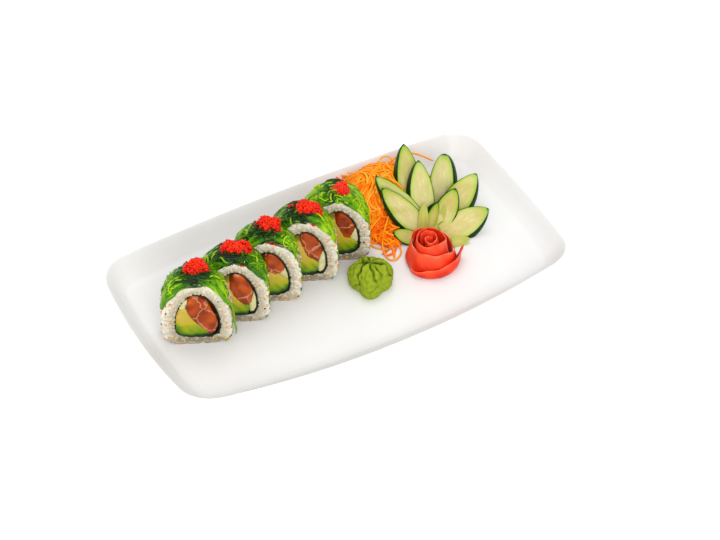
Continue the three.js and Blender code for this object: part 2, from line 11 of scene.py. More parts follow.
import bmesh
import bpy
import numpy as np
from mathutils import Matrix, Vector

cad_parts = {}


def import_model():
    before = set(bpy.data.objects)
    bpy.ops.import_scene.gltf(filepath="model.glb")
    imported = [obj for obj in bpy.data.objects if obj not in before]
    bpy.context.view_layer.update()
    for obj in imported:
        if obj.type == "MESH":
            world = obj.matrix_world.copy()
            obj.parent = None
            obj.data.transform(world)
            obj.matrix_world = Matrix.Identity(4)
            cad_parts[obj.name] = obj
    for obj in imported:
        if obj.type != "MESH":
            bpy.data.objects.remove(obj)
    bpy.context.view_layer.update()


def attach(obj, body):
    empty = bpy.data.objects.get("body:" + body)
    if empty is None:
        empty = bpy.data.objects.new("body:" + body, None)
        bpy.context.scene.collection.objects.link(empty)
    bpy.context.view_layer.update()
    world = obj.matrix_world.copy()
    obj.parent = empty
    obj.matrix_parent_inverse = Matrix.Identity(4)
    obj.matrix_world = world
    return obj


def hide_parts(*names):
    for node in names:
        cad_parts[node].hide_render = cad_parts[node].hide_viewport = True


LOG = logging.getLogger("platter")
MM = 0.001
GAP = 0.35
FLOOR_TOP = 6.0
REST = FLOOR_TOP + GAP
ROW_FACING = -0.51
ROSE_AT = (59.5, -15.5)
UP = np.array([0.0, 0.0, 1.0])
THROUGH = np.array([0.0, 1.0, 0.0])
BODY = "root"


# Colour and chance
def linear(code: str) -> tuple[float, float, float, float]:
    """Turns a hex screen colour into a linear one.

    Args:
        code: Six hex digits, red, green and blue.

    Returns:
        Linear red, green, blue and an alpha of one.
    """
    screen = np.array([int(code[i : i + 2], 16) for i in (0, 2, 4)]) / 255
    values = np.where(screen <= 0.04045, screen / 12.92, ((screen + 0.055) / 1.055) ** 2.4)
    return (*values.tolist(), 1.0)


def spread(chance: np.random.Generator, low: float, high: float, *shape: int) -> np.ndarray:
    """Draws even random numbers between two limits."""
    return low + (high - low) * chance.random(shape)


def ripple(points: np.ndarray, length: float, seed: int, waves: int = 9) -> np.ndarray:
    """Smooth uneven relief: the mean of sine waves in random directions.

    Args:
        points: Places, with their coordinates on the last axis.
        length: Wave length in the same unit as the points.
        seed: Seed of the directions and phases.
        waves: Number of waves.

    Returns:
        One value from about -1 to 1 for each point.
    """
    chance = np.random.default_rng(seed)
    ways = chance.normal(size=(waves, points.shape[-1]))
    ways *= (2 * np.pi / length) * spread(chance, 0.7, 1.4, waves, 1) / np.linalg.norm(ways, axis=1)[:, None]
    phases = spread(chance, 0, 2 * np.pi, waves)
    return np.sin(points @ ways.T + phases).sum(-1) / np.sqrt(waves)


def unit(vectors: np.ndarray) -> np.ndarray:
    """Scales vectors to length one."""
    return vectors / np.maximum(np.linalg.norm(vectors, axis=-1, keepdims=True), 1e-9)


def signed_power(value: np.ndarray, power: float | np.ndarray) -> np.ndarray:
    """Raises the size of a number to a power and keeps its sign."""
    return np.sign(value) * np.abs(value) ** power


def full_turn(count: int) -> np.ndarray:
    """Evenly spaced angles round a circle."""
    return np.linspace(0, 2 * np.pi, count, endpoint=False)


def directions(tilt: np.ndarray, turn: np.ndarray) -> np.ndarray:
    """Directions of length one, by their tilt from +Z and their turn about it."""
    return np.stack(np.broadcast_arrays(
        np.sin(tilt) * np.cos(turn), np.sin(tilt) * np.sin(turn), np.cos(tilt)), -1)


def tinted(tint: np.ndarray | float, *shape: int) -> np.ndarray:
    """The three values that a finish reads, on a grid of the given shape: a tint and two zeros."""
    own = np.zeros((*shape, 3))
    own[..., 0] = tint
    return own


def slopes(knots: np.ndarray) -> np.ndarray:
    """Slopes of a smooth curve at its knots: half of the way from the knot before to the one after."""
    return (np.vstack([knots[1:], knots[-1:]]) - np.vstack([knots[:1], knots[:-1]])) / 2


def hermite(start: np.ndarray, end: np.ndarray, leaving: np.ndarray, arriving: np.ndarray,
            share: np.ndarray) -> np.ndarray:
    """Points of a smooth curve between two knots.

    Args:
        start: The knot where it begins.
        end: The knot where it ends.
        leaving: Its slope at the start.
        arriving: Its slope at the end.
        share: Places along it, from 0 to 1.

    Returns:
        One point for each place.
    """
    return ((2 * share**3 - 3 * share**2 + 1) * start + (share**3 - 2 * share**2 + share) * leaving
            + (3 * share**2 - 2 * share**3) * end + (share**3 - share**2) * arriving)


# Surfaces
@dataclass
class Shape:
    """A surface in millimetres.

    Attributes:
        points: Corners, one row each.
        faces: Four corner numbers a face; a triangle says its last one twice.
        own: Three values at each corner that the finish reads, such as a tint.
    """

    points: np.ndarray
    faces: np.ndarray
    own: np.ndarray

    def facing_out(self) -> "Shape":
        """Turns the faces round when the surface encloses a negative volume."""
        a, b, c, d = (self.points[self.faces[:, i]] for i in range(4))
        volume = np.einsum("ij,ij->i", a, np.cross(b, c) + np.cross(c, d)).sum()
        if volume >= 0:
            return self
        three = (self.faces[:, 2] == self.faces[:, 3])[:, None]
        turned = np.where(three, self.faces[:, [0, 2, 1, 1]], self.faces[:, [0, 3, 2, 1]])
        return Shape(self.points, turned, self.own)

    def to_mesh(self, name: str) -> bpy.types.Mesh:
        """Writes the surface into a smooth-shaded mesh, in metres.

        Args:
            name: The mesh's name.

        Returns:
            The mesh, with the attribute "own" at its corners.
        """
        keep = np.ones(self.faces.shape, bool)
        keep[:, 3] = self.faces[:, 2] != self.faces[:, 3]
        counts = keep.sum(1)
        mesh = bpy.data.meshes.new(name)
        mesh.vertices.add(len(self.points))
        mesh.vertices.foreach_set("co", (self.points * MM).astype(np.float32).ravel())
        mesh.loops.add(int(counts.sum()))
        mesh.loops.foreach_set("vertex_index", self.faces[keep].astype(np.int32))
        mesh.polygons.add(len(self.faces))
        mesh.polygons.foreach_set("loop_start", (np.cumsum(counts) - counts).astype(np.int32))
        mesh.polygons.foreach_set("use_smooth", np.ones(len(self.faces), bool))
        write_own(mesh, self.own)
        mesh.update(calc_edges=True)
        mesh.validate()
        return mesh


def write_own(mesh: bpy.types.Mesh, own: np.ndarray) -> None:
    """Stores three values a corner as the attribute that the finishes read."""
    attribute = mesh.attributes.new("own", "FLOAT_VECTOR", "POINT")
    attribute.data.foreach_set("vector", own.astype(np.float32).ravel())


def joined(*shapes: Shape) -> Shape:
    """Puts several surfaces into one."""
    starts = np.cumsum([0] + [len(s.points) for s in shapes[:-1]])
    return Shape(
        np.vstack([s.points for s in shapes]),
        np.vstack([s.faces + start for s, start in zip(shapes, starts)]),
        np.vstack([s.own for s in shapes]),
    )


def skin(rings: np.ndarray, own: np.ndarray | None = None, looped: bool = False,
         hubs: np.ndarray | None = None) -> Shape:
    """Closed surface over a grid whose rows are rings.

    Args:
        rings: Grid of points, rows by places round a ring.
        own: The finish's three values on the same grid; zeros when left out.
        looped: Whether the last ring joins the first; otherwise each end is closed by a hub.
        hubs: The two hub points; the middles of the end rings when left out.

    Returns:
        The surface with its faces pointing out.
    """
    rows, around = rings.shape[:2]
    own = np.zeros(rings.shape) if own is None else own
    index = np.arange(rows * around).reshape(rows, around)
    low = index if looped else index[:-1]
    high = np.roll(index, -1, 0) if looped else index[1:]
    faces = [np.stack([low, high, np.roll(high, -1, 1), np.roll(low, -1, 1)], -1).reshape(-1, 4)]
    points = rings.reshape(-1, 3)
    values = own.reshape(-1, 3)
    if not looped:
        hubs = rings[[0, -1]].mean(1) if hubs is None else hubs
        points = np.vstack([points, hubs])
        values = np.vstack([values, own[[0, -1]].mean(1)])
        first, last = index[0], index[-1]
        middle = np.full(around, rows * around)
        faces.append(np.stack([middle, first, np.roll(first, -1), np.roll(first, -1)], -1))
        faces.append(np.stack([middle + 1, np.roll(last, -1), last, last], -1))
    return Shape(points, np.vstack(faces), values).facing_out()


def ball(rows: int, around: int) -> Shape:
    """A round bead of radius one, its poles on x."""
    tilt = np.linspace(0, np.pi, rows + 2)[1:-1, None]
    rings = directions(tilt, full_turn(around)[None])[..., [2, 0, 1]]
    return skin(rings, hubs=np.array([[1.0, 0, 0], [-1.0, 0, 0]]))


def copies(bead: Shape, centres: np.ndarray, frames: np.ndarray, sizes: np.ndarray,
           own: np.ndarray) -> Shape:
    """Many copies of a small bead in one surface: each is scaled, turned and moved.

    Args:
        bead: The bead to copy.
        centres: Where each copy goes.
        frames: The three axes of each copy, as rows.
        sizes: Half sizes along the three axes of each copy.
        own: The finish's three values of each copy.

    Returns:
        All the copies.
    """
    count, corners = len(centres), len(bead.points)
    points = np.einsum("pk,nk,nkc->npc", bead.points, sizes, frames) + centres[:, None]
    faces = bead.faces[None] + (np.arange(count) * corners)[:, None, None]
    return Shape(points.reshape(-1, 3), faces.reshape(-1, 4), np.repeat(own, corners, 0))


def beads(bead: Shape, centres: np.ndarray, radii: np.ndarray, tint: np.ndarray | float) -> Shape:
    """Round copies of a bead, each with a radius and a tint of its own."""
    count = len(centres)
    unturned = np.repeat(np.eye(3)[None], count, 0)
    return copies(bead, centres, unturned, np.repeat(radii[:, None], 3, 1), tinted(tint, count))


def strands(paths: np.ndarray, facing: np.ndarray, width: np.ndarray, thickness: np.ndarray,
            own: np.ndarray, sides: int = 4) -> Shape:
    """Many strands in one surface: an oval section carried along each path, thinner at its ends.

    Args:
        paths: Strands by points along them.
        facing: The way the flat side looks, at each point or the same for all.
        width: Width of each strand.
        thickness: Thickness of each strand.
        own: The finish's three values of each strand, or at each of its points.
        sides: Corners of the section, an even number.

    Returns:
        All the strands.
    """
    count, steps = paths.shape[:2]
    along = unit(np.gradient(paths, axis=1))
    side = unit(np.cross(along, np.broadcast_to(facing, paths.shape)))
    lift = np.cross(side, along)
    place = np.arange(steps)
    taper = np.clip(0.45 + 0.3 * np.minimum(place, steps - 1 - place), 0, 1)[None, :, None, None]
    turn = 2 * np.pi * (np.arange(sides) + 0.5) / sides
    across = taper * side[:, :, None] * (0.5 * width[:, None, None, None] * np.cos(turn)[:, None])
    upward = taper * lift[:, :, None] * (0.5 * thickness[:, None, None, None] * np.sin(turn)[:, None])
    points = (paths[:, :, None] + across + upward).reshape(-1, 3)
    index = np.arange(count * steps * sides).reshape(count, steps, sides)
    low, high = index[:, :-1], index[:, 1:]
    faces = [np.stack([low, high, np.roll(high, -1, 2), np.roll(low, -1, 2)], -1).reshape(-1, 4)]
    for k in range(1, sides - 1, 2):
        faces.append(index[:, 0][:, [0, k, k + 1, k + 2]])
        faces.append(index[:, -1][:, [0, k + 2, k + 1, k]])
    own = np.broadcast_to(own[:, None] if own.ndim == 2 else own, (count, steps, 3))
    return Shape(points, np.vstack(faces), np.repeat(own.reshape(-1, 3), sides, 0)).facing_out()


def add_piece(shape: Shape | bpy.types.Mesh, name: str, finish: bpy.types.Material, slot: str,
              *nodes: str) -> bpy.types.Object:
    """Makes a piece of the platter, dresses it and hides the solids that it replaces.

    Args:
        shape: The surface, or a mesh that is ready.
        name: The piece's name.
        finish: Its material.
        slot: Name of a material slot; not used.
        nodes: The solids that it replaces.

    Returns:
        The new object.
    """
    mesh = shape.to_mesh(name) if isinstance(shape, Shape) else shape
    mesh.materials.clear()
    mesh.materials.append(finish)
    piece = bpy.data.objects.new(name, mesh)
    bpy.context.scene.collection.objects.link(piece)
    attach(piece, BODY)
    if nodes:
        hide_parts(*nodes)
    LOG.info("%s: %d faces", name, len(mesh.polygons))
    return piece


# Finishes
class Tree:
    """A material and a short way to write its nodes."""

    def __init__(self, name: str) -> None:
        """Starts a material with one principled shader."""
        self.material = bpy.data.materials.new(name)
        self.material.use_nodes = True
        self.nodes = self.material.node_tree.nodes
        self.links = self.material.node_tree.links
        self.shader = self.nodes["Principled BSDF"]

    def add(self, kind: str, inputs: dict | None = None, **settings: object) -> bpy.types.Node:
        """Adds a node.

        Args:
            kind: The node's type without its prefix.
            inputs: Values or sockets for its inputs, by name or number.
            settings: The node's own settings.

        Returns:
            The node.
        """
        node = self.nodes.new("ShaderNode" + kind)
        for key, value in settings.items():
            setattr(node, key, value)
        for key, value in (inputs or {}).items():
            if isinstance(value, bpy.types.NodeSocket):
                self.links.new(value, node.inputs[key])
            else:
                node.inputs[key].default_value = value
        return node

    def own(self) -> list[bpy.types.NodeSocket]:
        """The three values that the piece carries at its corners."""
        attribute = self.add("Attribute", attribute_name="own")
        return list(self.add("SeparateXYZ", {0: attribute.outputs["Vector"]}).outputs)

    def place(self) -> bpy.types.NodeSocket:
        """Object coordinates."""
        return self.add("TexCoord").outputs["Object"]

    def stretched(self, turn: float, scale: tuple[float, float, float]) -> bpy.types.NodeSocket:
        """Object coordinates turned about z and stretched."""
        mapping = self.add("Mapping", {"Vector": self.place(), "Rotation": (0, 0, turn), "Scale": scale})
        return mapping.outputs[0]

    def noise(self, scale: float, detail: float = 3, vector: bpy.types.NodeSocket | None = None,
              ) -> bpy.types.NodeSocket:
        """Soft noise with the given number of lumps a metre."""
        source = vector or self.place()
        return self.add("TexNoise", {"Vector": source, "Scale": scale, "Detail": detail}).outputs[0]

    def sway(self, scale: float, size: float) -> bpy.types.NodeSocket:
        """Soft noise that swings round zero, between plus and minus half of the size."""
        return self.math("MULTIPLY", self.math("SUBTRACT", self.noise(scale), 0.5), size)

    def math(self, operation: str, first: object, second: object = 0.0) -> bpy.types.NodeSocket:
        """One sum on two numbers."""
        return self.add("Math", {0: first, 1: second}, operation=operation).outputs[0]

    def ramp(self, factor: bpy.types.NodeSocket, stops: tuple[tuple[float, str], ...],
             ) -> bpy.types.NodeSocket:
        """Colours along a number, as places and hex colours."""
        node = self.add("ValToRGB", {0: factor})
        elements = node.color_ramp.elements
        elements[0].position, elements[0].color = stops[0][0], linear(stops[0][1])
        elements[1].position, elements[1].color = stops[-1][0], linear(stops[-1][1])
        for position, code in stops[1:-1]:
            elements.new(position).color = linear(code)
        return node.outputs[0]

    def mix(self, factor: object, first: object, second: object) -> bpy.types.NodeSocket:
        """Two colours mixed; each may be a socket or a linear colour."""
        return self.add("Mix", {0: factor, 6: first, 7: second}, data_type="RGBA").outputs[2]

    def bump(self, height: bpy.types.NodeSocket, distance: float) -> None:
        """Fine relief on the shader, with its depth in millimetres."""
        node = self.add("Bump", {"Height": height, "Distance": distance * MM, "Strength": 1.0})
        self.links.new(node.outputs[0], self.shader.inputs["Normal"])

    def colour(self, socket: bpy.types.NodeSocket) -> None:
        """Links the shader's colour."""
        self.links.new(socket, self.shader.inputs["Base Color"])


class Wetness(Enum):
    """How wet a surface looks, as roughness and coat."""

    DRY = (0.75, 0.0)
    DAMP = (0.48, 0.0)
    MOIST = (0.36, 0.06)
    SLICK = (0.28, 0.05)
    WET = (0.24, 0.15)


@dataclass(frozen=True)
class Finish:
    """A finish whose colour runs along the piece's own tint, mottled and finely bumped.

    Attributes:
        name: The material's name.
        stops: Colours by tint, from 0 to 1.
        wetness: How it shines.
        mottle: How far noise shifts the tint.
        mottle_scale: Lumps of that noise a metre.
        relief: Depth of the fine relief in millimetres.
        relief_scale: Lumps of the relief a metre.
        glow: Share of light that passes through the surface.
        glow_depth: How deep it goes, in millimetres.
        glow_colour: How far red, green and blue go in relation to it.
        shine: Strength of the mirror-like share of the light.
    """

    name: str
    stops: tuple[tuple[float, str], ...]
    wetness: Wetness = Wetness.MOIST
    mottle: float = 0.2
    mottle_scale: float = 300
    relief: float = 0.1
    relief_scale: float = 900
    glow: float = 0.0
    glow_depth: float = 1.0
    glow_colour: tuple[float, float, float] = (1.0, 0.6, 0.4)
    shine: float = 0.15

    def start(self) -> Tree:
        """A new tree with the values that are the same all over the surface."""
        tree = Tree(self.name)
        roughness, coat = self.wetness.value
        tree.shader.inputs["Roughness"].default_value = roughness
        tree.shader.inputs["Coat Weight"].default_value = coat
        tree.shader.inputs["Coat Roughness"].default_value = 0.1
        tree.shader.inputs["Specular IOR Level"].default_value = self.shine
        tree.shader.inputs["Subsurface Weight"].default_value = self.glow
        tree.shader.inputs["Subsurface Scale"].default_value = self.glow_depth * MM
        tree.shader.inputs["Subsurface Radius"].default_value = self.glow_colour
        return tree

    def tint(self, tree: Tree) -> bpy.types.NodeSocket:
        """The piece's tint, shifted by the mottling."""
        return tree.math("ADD", tree.own()[0], tree.sway(self.mottle_scale, 2 * self.mottle))

    def make(self) -> bpy.types.Material:
        """Builds the material."""
        tree = self.start()
        tree.colour(tree.ramp(self.tint(tree), self.stops))
        tree.bump(tree.noise(self.relief_scale, 4), self.relief)
        return tree.material


@dataclass(frozen=True)
class Marbled(Finish):
    """Raw fish: flesh between thin pale sheets of fat that run into the slice.

    Attributes:
        fat: Colour of the fat.
        flakes: Flakes a metre.
        turn: Heading of the slice, about which the sheets are stretched.
        stretch: How close together the sheets lie along the slice's three axes.
        bend: How far noise bends the sheets.
        bend_scale: Lumps of that noise a metre.
    """

    fat: str = "dca078"
    flakes: float = 74
    turn: float = -ROW_FACING
    stretch: tuple[float, float, float] = (1.0, 0.3, 0.8)
    bend: float = 0.005
    bend_scale: float = 190.0

    def make(self) -> bpy.types.Material:
        """Builds the material."""
        tree = self.start()
        lumps = tree.add("TexNoise", {"Vector": tree.place(), "Scale": self.bend_scale})
        bent = tree.mix(self.bend, tree.stretched(self.turn, self.stretch), lumps.outputs["Color"])
        edge = tree.add("TexVoronoi", {"Vector": bent, "Scale": self.flakes}, feature="DISTANCE_TO_EDGE")
        lines = tree.ramp(edge.outputs["Distance"], ((0.0, "f0f0f0"), (0.018, "909090"), (0.04, "000000")))
        flesh = tree.ramp(self.tint(tree), self.stops)
        tree.colour(tree.mix(tree.math("MULTIPLY", lines, 0.85), flesh, linear(self.fat)))
        height = tree.math("ADD", tree.math("MULTIPLY", lines, 0.7), tree.noise(self.relief_scale, 3))
        tree.bump(height, self.relief)
        return tree.material


@dataclass(frozen=True)
class CutCucumber(Finish):
    """Cucumber flesh with seeds in its middle, a green line and a dark skin.

    The piece's own values are the distance from its edge in centimetres, and the places across and
    along it in centimetres.

    Attributes:
        seed_colour: Colour of the wet seed pods.
        pale: Colour of the flesh between them.
        pods: Seed pods a centimetre across the slice.
        slender: Width of a pod as a share of its length.
    """

    seed_colour: str = "e0d09e"
    pale: str = "b0ac56"
    pods: float = 4.2
    slender: float = 0.34

    def make(self) -> bpy.types.Material:
        """Builds the material."""
        tree = self.start()
        edge, across, along = tree.own()
        leaf = tree.add("CombineXYZ", {0: across, 1: tree.math("MULTIPLY", along, self.slender)}).outputs[0]
        pods = tree.add("TexVoronoi", {"Vector": leaf, "Scale": self.pods, "Randomness": 0.8},
                        feature="SMOOTH_F1")
        seeds = tree.ramp(pods.outputs["Distance"], ((0.18, "ffffff"), (0.5, "000000")))
        inner = tree.ramp(edge, ((0.28, "000000"), (0.52, "ffffff")))
        flesh = tree.ramp(tree.math("ADD", edge, tree.sway(500, 0.05)), self.stops)
        streak = tree.noise(9, 3, leaf)
        shade = tree.mix(tree.math("MULTIPLY", inner, streak), flesh, linear(self.pale))
        amount = tree.math("MULTIPLY", tree.math("MULTIPLY", seeds, inner), 0.4)
        tree.colour(tree.mix(amount, shade, linear(self.seed_colour)))
        height = tree.math("SUBTRACT", tree.noise(self.relief_scale, 3), tree.math("MULTIPLY", amount, 0.8))
        tree.bump(height, self.relief)
        return tree.material


@dataclass(frozen=True)
class Porcelain(Finish):
    """White glaze over clay: even, with a faint change of tone."""

    def make(self) -> bpy.types.Material:
        """Builds the material."""
        tree = self.start()
        tree.colour(tree.ramp(tree.noise(14, 2), self.stops))
        tree.bump(tree.noise(self.relief_scale, 2), self.relief)
        return tree.material


class Larder:
    """All the finishes of the platter, each made once."""

    def __init__(self) -> None:
        """Makes the materials."""
        self.porcelain = Porcelain(
            "glazed_porcelain", ((0.3, "e0dfde"), (0.7, "e4e4e3")), Wetness.MOIST,
            relief=0.05, relief_scale=45, shine=0.3).make()
        # The rice's grey-brown low stops carry the painted shade at the foot, along the nori and deep in the
        # core.
        self.rice = Finish(
            "steamed_rice", ((0.0, "857b62"), (0.3, "aca38c"), (0.65, "c5bca5"), (1.0, "dcd5c5")),
            Wetness.WET, mottle=0.1, relief=0.02).make()
        self.specks = Finish(
            "orange_roe_and_sesame", ((0.0, "f0a424"), (0.55, "dc7c10"), (0.8, "8a5a20"), (1.0, "34301a")),
            Wetness.WET, mottle=0.1, mottle_scale=900, relief=0.02, relief_scale=3000,
            glow=0.2, glow_depth=0.5, glow_colour=(1.0, 0.75, 0.5)).make()
        self.nori = Finish(
            "nori_sheet", ((0.0, "0c120c"), (1.0, "22301c")),
            Wetness.DAMP, mottle=0.4, mottle_scale=700, relief=0.12, relief_scale=1600).make()
        self.salmon = Marbled(
            "salmon_flesh", ((0.0, "6a1e00"), (0.5, "923400"), (1.0, "b64e00")),
            Wetness.WET, mottle=0.3, mottle_scale=130, relief=0.3, relief_scale=260,
            glow=0.12, glow_colour=(1.0, 0.4, 0.15)).make()
        self.avocado = Finish(
            "avocado_flesh",
            ((0.0, "bca044"), (0.25, "b0a024"), (0.46, "849606"), (0.68, "447404"), (0.92, "122e04")),
            Wetness.MOIST, mottle=0.1, mottle_scale=220, relief_scale=800,
            glow=0.12, glow_colour=(1.0, 0.9, 0.3)).make()
        self.stick = Finish(
            "pale_cucumber_stick", ((0.0, "a9a56c"), (1.0, "d3cf9d")),
            Wetness.WET, mottle=0.3, mottle_scale=350, relief=0.12,
            glow=0.3, glow_colour=(1.0, 0.9, 0.5)).make()
        self.seaweed = Finish(
            "dressed_seaweed",
            ((0.0, "0c2206"), (0.25, "1c3e02"), (0.5, "407800"), (0.75, "6a9c00"), (1.0, "9cc20c")),
            Wetness.SLICK, mottle=0.12, mottle_scale=420, relief=0.08, relief_scale=1400).make()
        self.roe = Finish(
            "red_roe", ((0.0, "b20802"), (0.5, "d81602"), (1.0, "f03806")),
            Wetness.WET, mottle=0.1, mottle_scale=600, relief=0.01, relief_scale=3000,
            glow=0.1, glow_depth=0.6, glow_colour=(1.0, 0.2, 0.06)).make()
        self.carrot = Finish(
            "carrot_shreds", ((0.0, "d24000"), (0.4, "fa6e00"), (0.7, "ff9a00"), (1.0, "ffb838")),
            Wetness.DAMP, mottle=0.15, mottle_scale=260, relief=0.08, relief_scale=1300).make()
        self.cucumber = CutCucumber(
            "cut_cucumber", ((0.0, "10280a"), (0.02, "143208"), (0.045, "488610"), (0.1, "98b834"),
                             (0.2, "b0b852"), (0.34, "c2bd6a"), (0.6, "cec27e")),
            Wetness.WET, relief=0.12, glow=0.3, glow_depth=1.2, glow_colour=(0.9, 1.0, 0.4)).make()
        self.ginger = Finish(
            "pickled_ginger", ((0.0, "cc2008"), (0.35, "ee4020"), (0.7, "fa5a38"), (1.0, "ff8a68")),
            Wetness.MOIST, mottle=0.18, mottle_scale=180, relief_scale=520,
            glow=0.4, glow_depth=2.0, glow_colour=(1.0, 0.3, 0.2)).make()
        # The darkest stop of the wasabi serves the painted shade in its creases and pits.
        self.wasabi = Finish(
            "wasabi_paste", ((0.0, "304402"), (0.4, "788c14"), (0.75, "94a622"), (1.0, "aabb38")),
            Wetness.DRY, mottle=0.16, mottle_scale=420, relief=0.22, relief_scale=1000,
            glow=0.1, glow_depth=0.8, glow_colour=(0.9, 1.0, 0.3)).make()


# Plate
@dataclass
class Dish:
    """The rectangular plate: bowed sides, round corners that lift, a raised rim and a foot ring.

    Attributes:
        length: Its length over the ends' bow.
        width: Its width over the sides' bow.
        end_bulge: How far the ends bow out.
        side_bulge: How far the long sides bow out.
        corner_radius: Radius of the round corners.
        corner_lift: How much higher the rim is at the corners.
        foot_top: Height of the underside within the foot ring.
        wall: Steps of the wall's section, from the floor over the rim to the foot ring, each as inset
            from the rim, height and share of the corners' lift.
        steps: Points along each side.
    """

    length: float = 280.0
    width: float = 157.5
    end_bulge: float = 2.6
    side_bulge: float = 8.0
    corner_radius: float = 22.8
    corner_lift: float = 8.5
    foot_top: float = 1.2
    wall: tuple[tuple[float, float, float], ...] = (
        (20.0, 6.0, 0.0), (17.0, 6.04, 0.0), (12.5, 6.8, 0.05), (7.5, 10.2, 0.4), (3.0, 15.0, 0.8),
        (1.2, 16.8, 1.0), (0.2, 16.9, 1.0), (0.6, 14.9, 0.95), (4.6, 11.0, 0.7), (10.0, 5.2, 0.25),
        (15.0, 1.6, 0.0), (16.0, 0.0, 0.0), (19.0, 0.0, 0.0), (19.8, 1.2, 0.0),
    )
    steps: int = 44

    def stations(self) -> tuple[np.ndarray, np.ndarray]:
        """Points of the inner frame and the headings of their normals: four arcs and their corners.

        Returns:
            Points in x and y, and headings in radians.
        """
        bulges = np.array([self.side_bulge, self.end_bulge])
        half = np.array([self.length, self.width]) / 2 - bulges[::-1] - self.corner_radius
        pivots = half * np.array([[-1, -1], [1, -1], [1, 1], [-1, 1]])
        radii = (half**2 + bulges**2) / (2 * bulges)
        reaches = np.arcsin(2 * half * bulges / (half**2 + bulges**2))
        points, headings = [], []
        for side in range(4):
            kind = side % 2
            pivot = pivots[(side + 1) % 4]
            heading = (side - 1) * np.pi / 2
            way = np.array([np.cos(heading), np.sin(heading)])
            turn = heading + reaches[kind] * np.linspace(-1, 1, self.steps)
            centre = (pivots[side] + pivot) / 2 - way * (radii[kind] - bulges[kind])
            points.append(centre + radii[kind] * np.stack([np.cos(turn), np.sin(turn)], -1))
            headings.append(turn)
            corner = np.linspace(turn[-1], heading + np.pi / 2 - reaches[1 - kind], self.steps // 2)[1:-1]
            points.append(np.repeat(pivot[None], len(corner), 0))
            headings.append(corner)
        return np.vstack(points), np.concatenate(headings)

    def profile(self) -> np.ndarray:
        """The wall's section, rounded by a smooth curve through its steps.

        Returns:
            Rows of inset from the rim, height and share of the corners' lift.
        """
        steps = np.array(self.wall)
        slope = slopes(steps)
        share = np.linspace(0, 1, 4, endpoint=False)[:, None]
        bends = []
        for i in range(len(steps) - 1):
            tension = 0.9 * min(1.0, 2.5 / np.linalg.norm(steps[i + 1] - steps[i]) + 0.45)
            bends.append(hermite(steps[i], steps[i + 1], tension * slope[i], tension * slope[i + 1], share))
        return np.vstack([*bends, steps[-1:]])

    def shape(self) -> Shape:
        """The whole plate: the section carried round the frame, and rings that close floor and foot."""
        frame, heading = self.stations()
        normal = np.stack([np.cos(heading), np.sin(heading)], -1)
        inset, height, lift = self.profile().T[:, :, None]
        flat = frame + (self.corner_radius - inset)[..., None] * normal
        corner = (4 * np.abs(flat[..., 0] * flat[..., 1]) / (self.length * self.width)) ** 2.5
        z = np.maximum(height + lift * corner * self.corner_lift, 0)
        rings = np.concatenate([flat, z[..., None]], -1)
        level = np.array([1, 1, 0])
        shrink = np.linspace(0.12, 0.98, 9)[:, None, None]
        floor = rings[0] * level * shrink + FLOOR_TOP * UP
        under = rings[-1] * level * shrink[::-1] + self.foot_top * UP
        return skin(np.concatenate([floor, rings, under]))

    def build(self, larder: Larder) -> None:
        """Makes the plate's piece."""
        add_piece(self.shape(), "porcelain_dish", larder.porcelain, "porcelain", "plate")


# Roll slices
@dataclass(frozen=True)
class Arch:
    """A flat-footed arch: a round arch over a squared foot.

    Attributes:
        half_width: Half of its width, which is reached at the waist.
        waist: Height of the waist, where the foot ends and the arch begins.
        bottom: Height of its lowest point.
        top: Height of its highest point.
        foot_power: How square the foot is: 2 gives an ellipse, and more is squarer.
        arch_power: The same of the arch.
    """

    half_width: float
    waist: float
    bottom: float
    top: float
    foot_power: float
    arch_power: float

    def outline(self, count: int, shift: float = 0.0, inset: float = 0.0) -> np.ndarray:
        """Evenly spaced points, from the top and first down the left side.

        Args:
            count: Number of points.
            shift: Distance that the arch stands to the right.
            inset: Distance that it is drawn in.

        Returns:
            Points in x and z.
        """
        turn = np.linspace(0, 2 * np.pi, 721) + np.pi / 2
        upper = np.sin(turn) >= 0
        power = 2 / np.where(upper, self.arch_power, self.foot_power)
        reach = np.where(upper, self.top - inset - self.waist, self.waist - self.bottom - inset)
        x = shift + (self.half_width - inset) * signed_power(np.cos(turn), power)
        z = self.waist + reach * signed_power(np.sin(turn), power)
        walked = np.concatenate([[0], np.cumsum(np.hypot(np.diff(x), np.diff(z)))])
        even = np.linspace(0, walked[-1], count, endpoint=False)
        return np.stack([np.interp(even, walked, x), np.interp(even, walked, z)], -1)


ROLL = Arch(21.75, 20.0, 0.0, 50.2, 5.0, 2.1)
RING = Arch(14.4, 16.0, 4.7, 43.0, 3.4, 1.85)
DEPTH = 16.8
HALF = DEPTH / 2
STEPS = 32
FINE = 240
NORI_THICKNESS = 0.7


def wrapped(table: np.ndarray, place: np.ndarray) -> np.ndarray:
    """Reads a closed table of rows at fractional places round it."""
    count = len(table)
    base = np.floor(place).astype(int)
    share = (place - base)[..., None]
    return table[base % count] * (1 - share) + table[(base + 1) % count] * share


def at_depth(flat: np.ndarray, y: np.ndarray | float) -> np.ndarray:
    """Places in x and z, with a depth y put between the two."""
    return np.stack(np.broadcast_arrays(flat[..., 0], y, flat[..., 1]), -1)


def axes(along: np.ndarray, side: np.ndarray) -> np.ndarray:
    """Frames of grains as rows: along, aside and square to both."""
    return np.stack([along, side, np.cross(along, side)], 1)


def drawn(chance: np.random.Generator, count: int, *limits: tuple[float, float]) -> np.ndarray:
    """Draws rows of random numbers, with one column for each pair of limits."""
    return np.stack([spread(chance, low, high, count) for low, high in limits], -1)


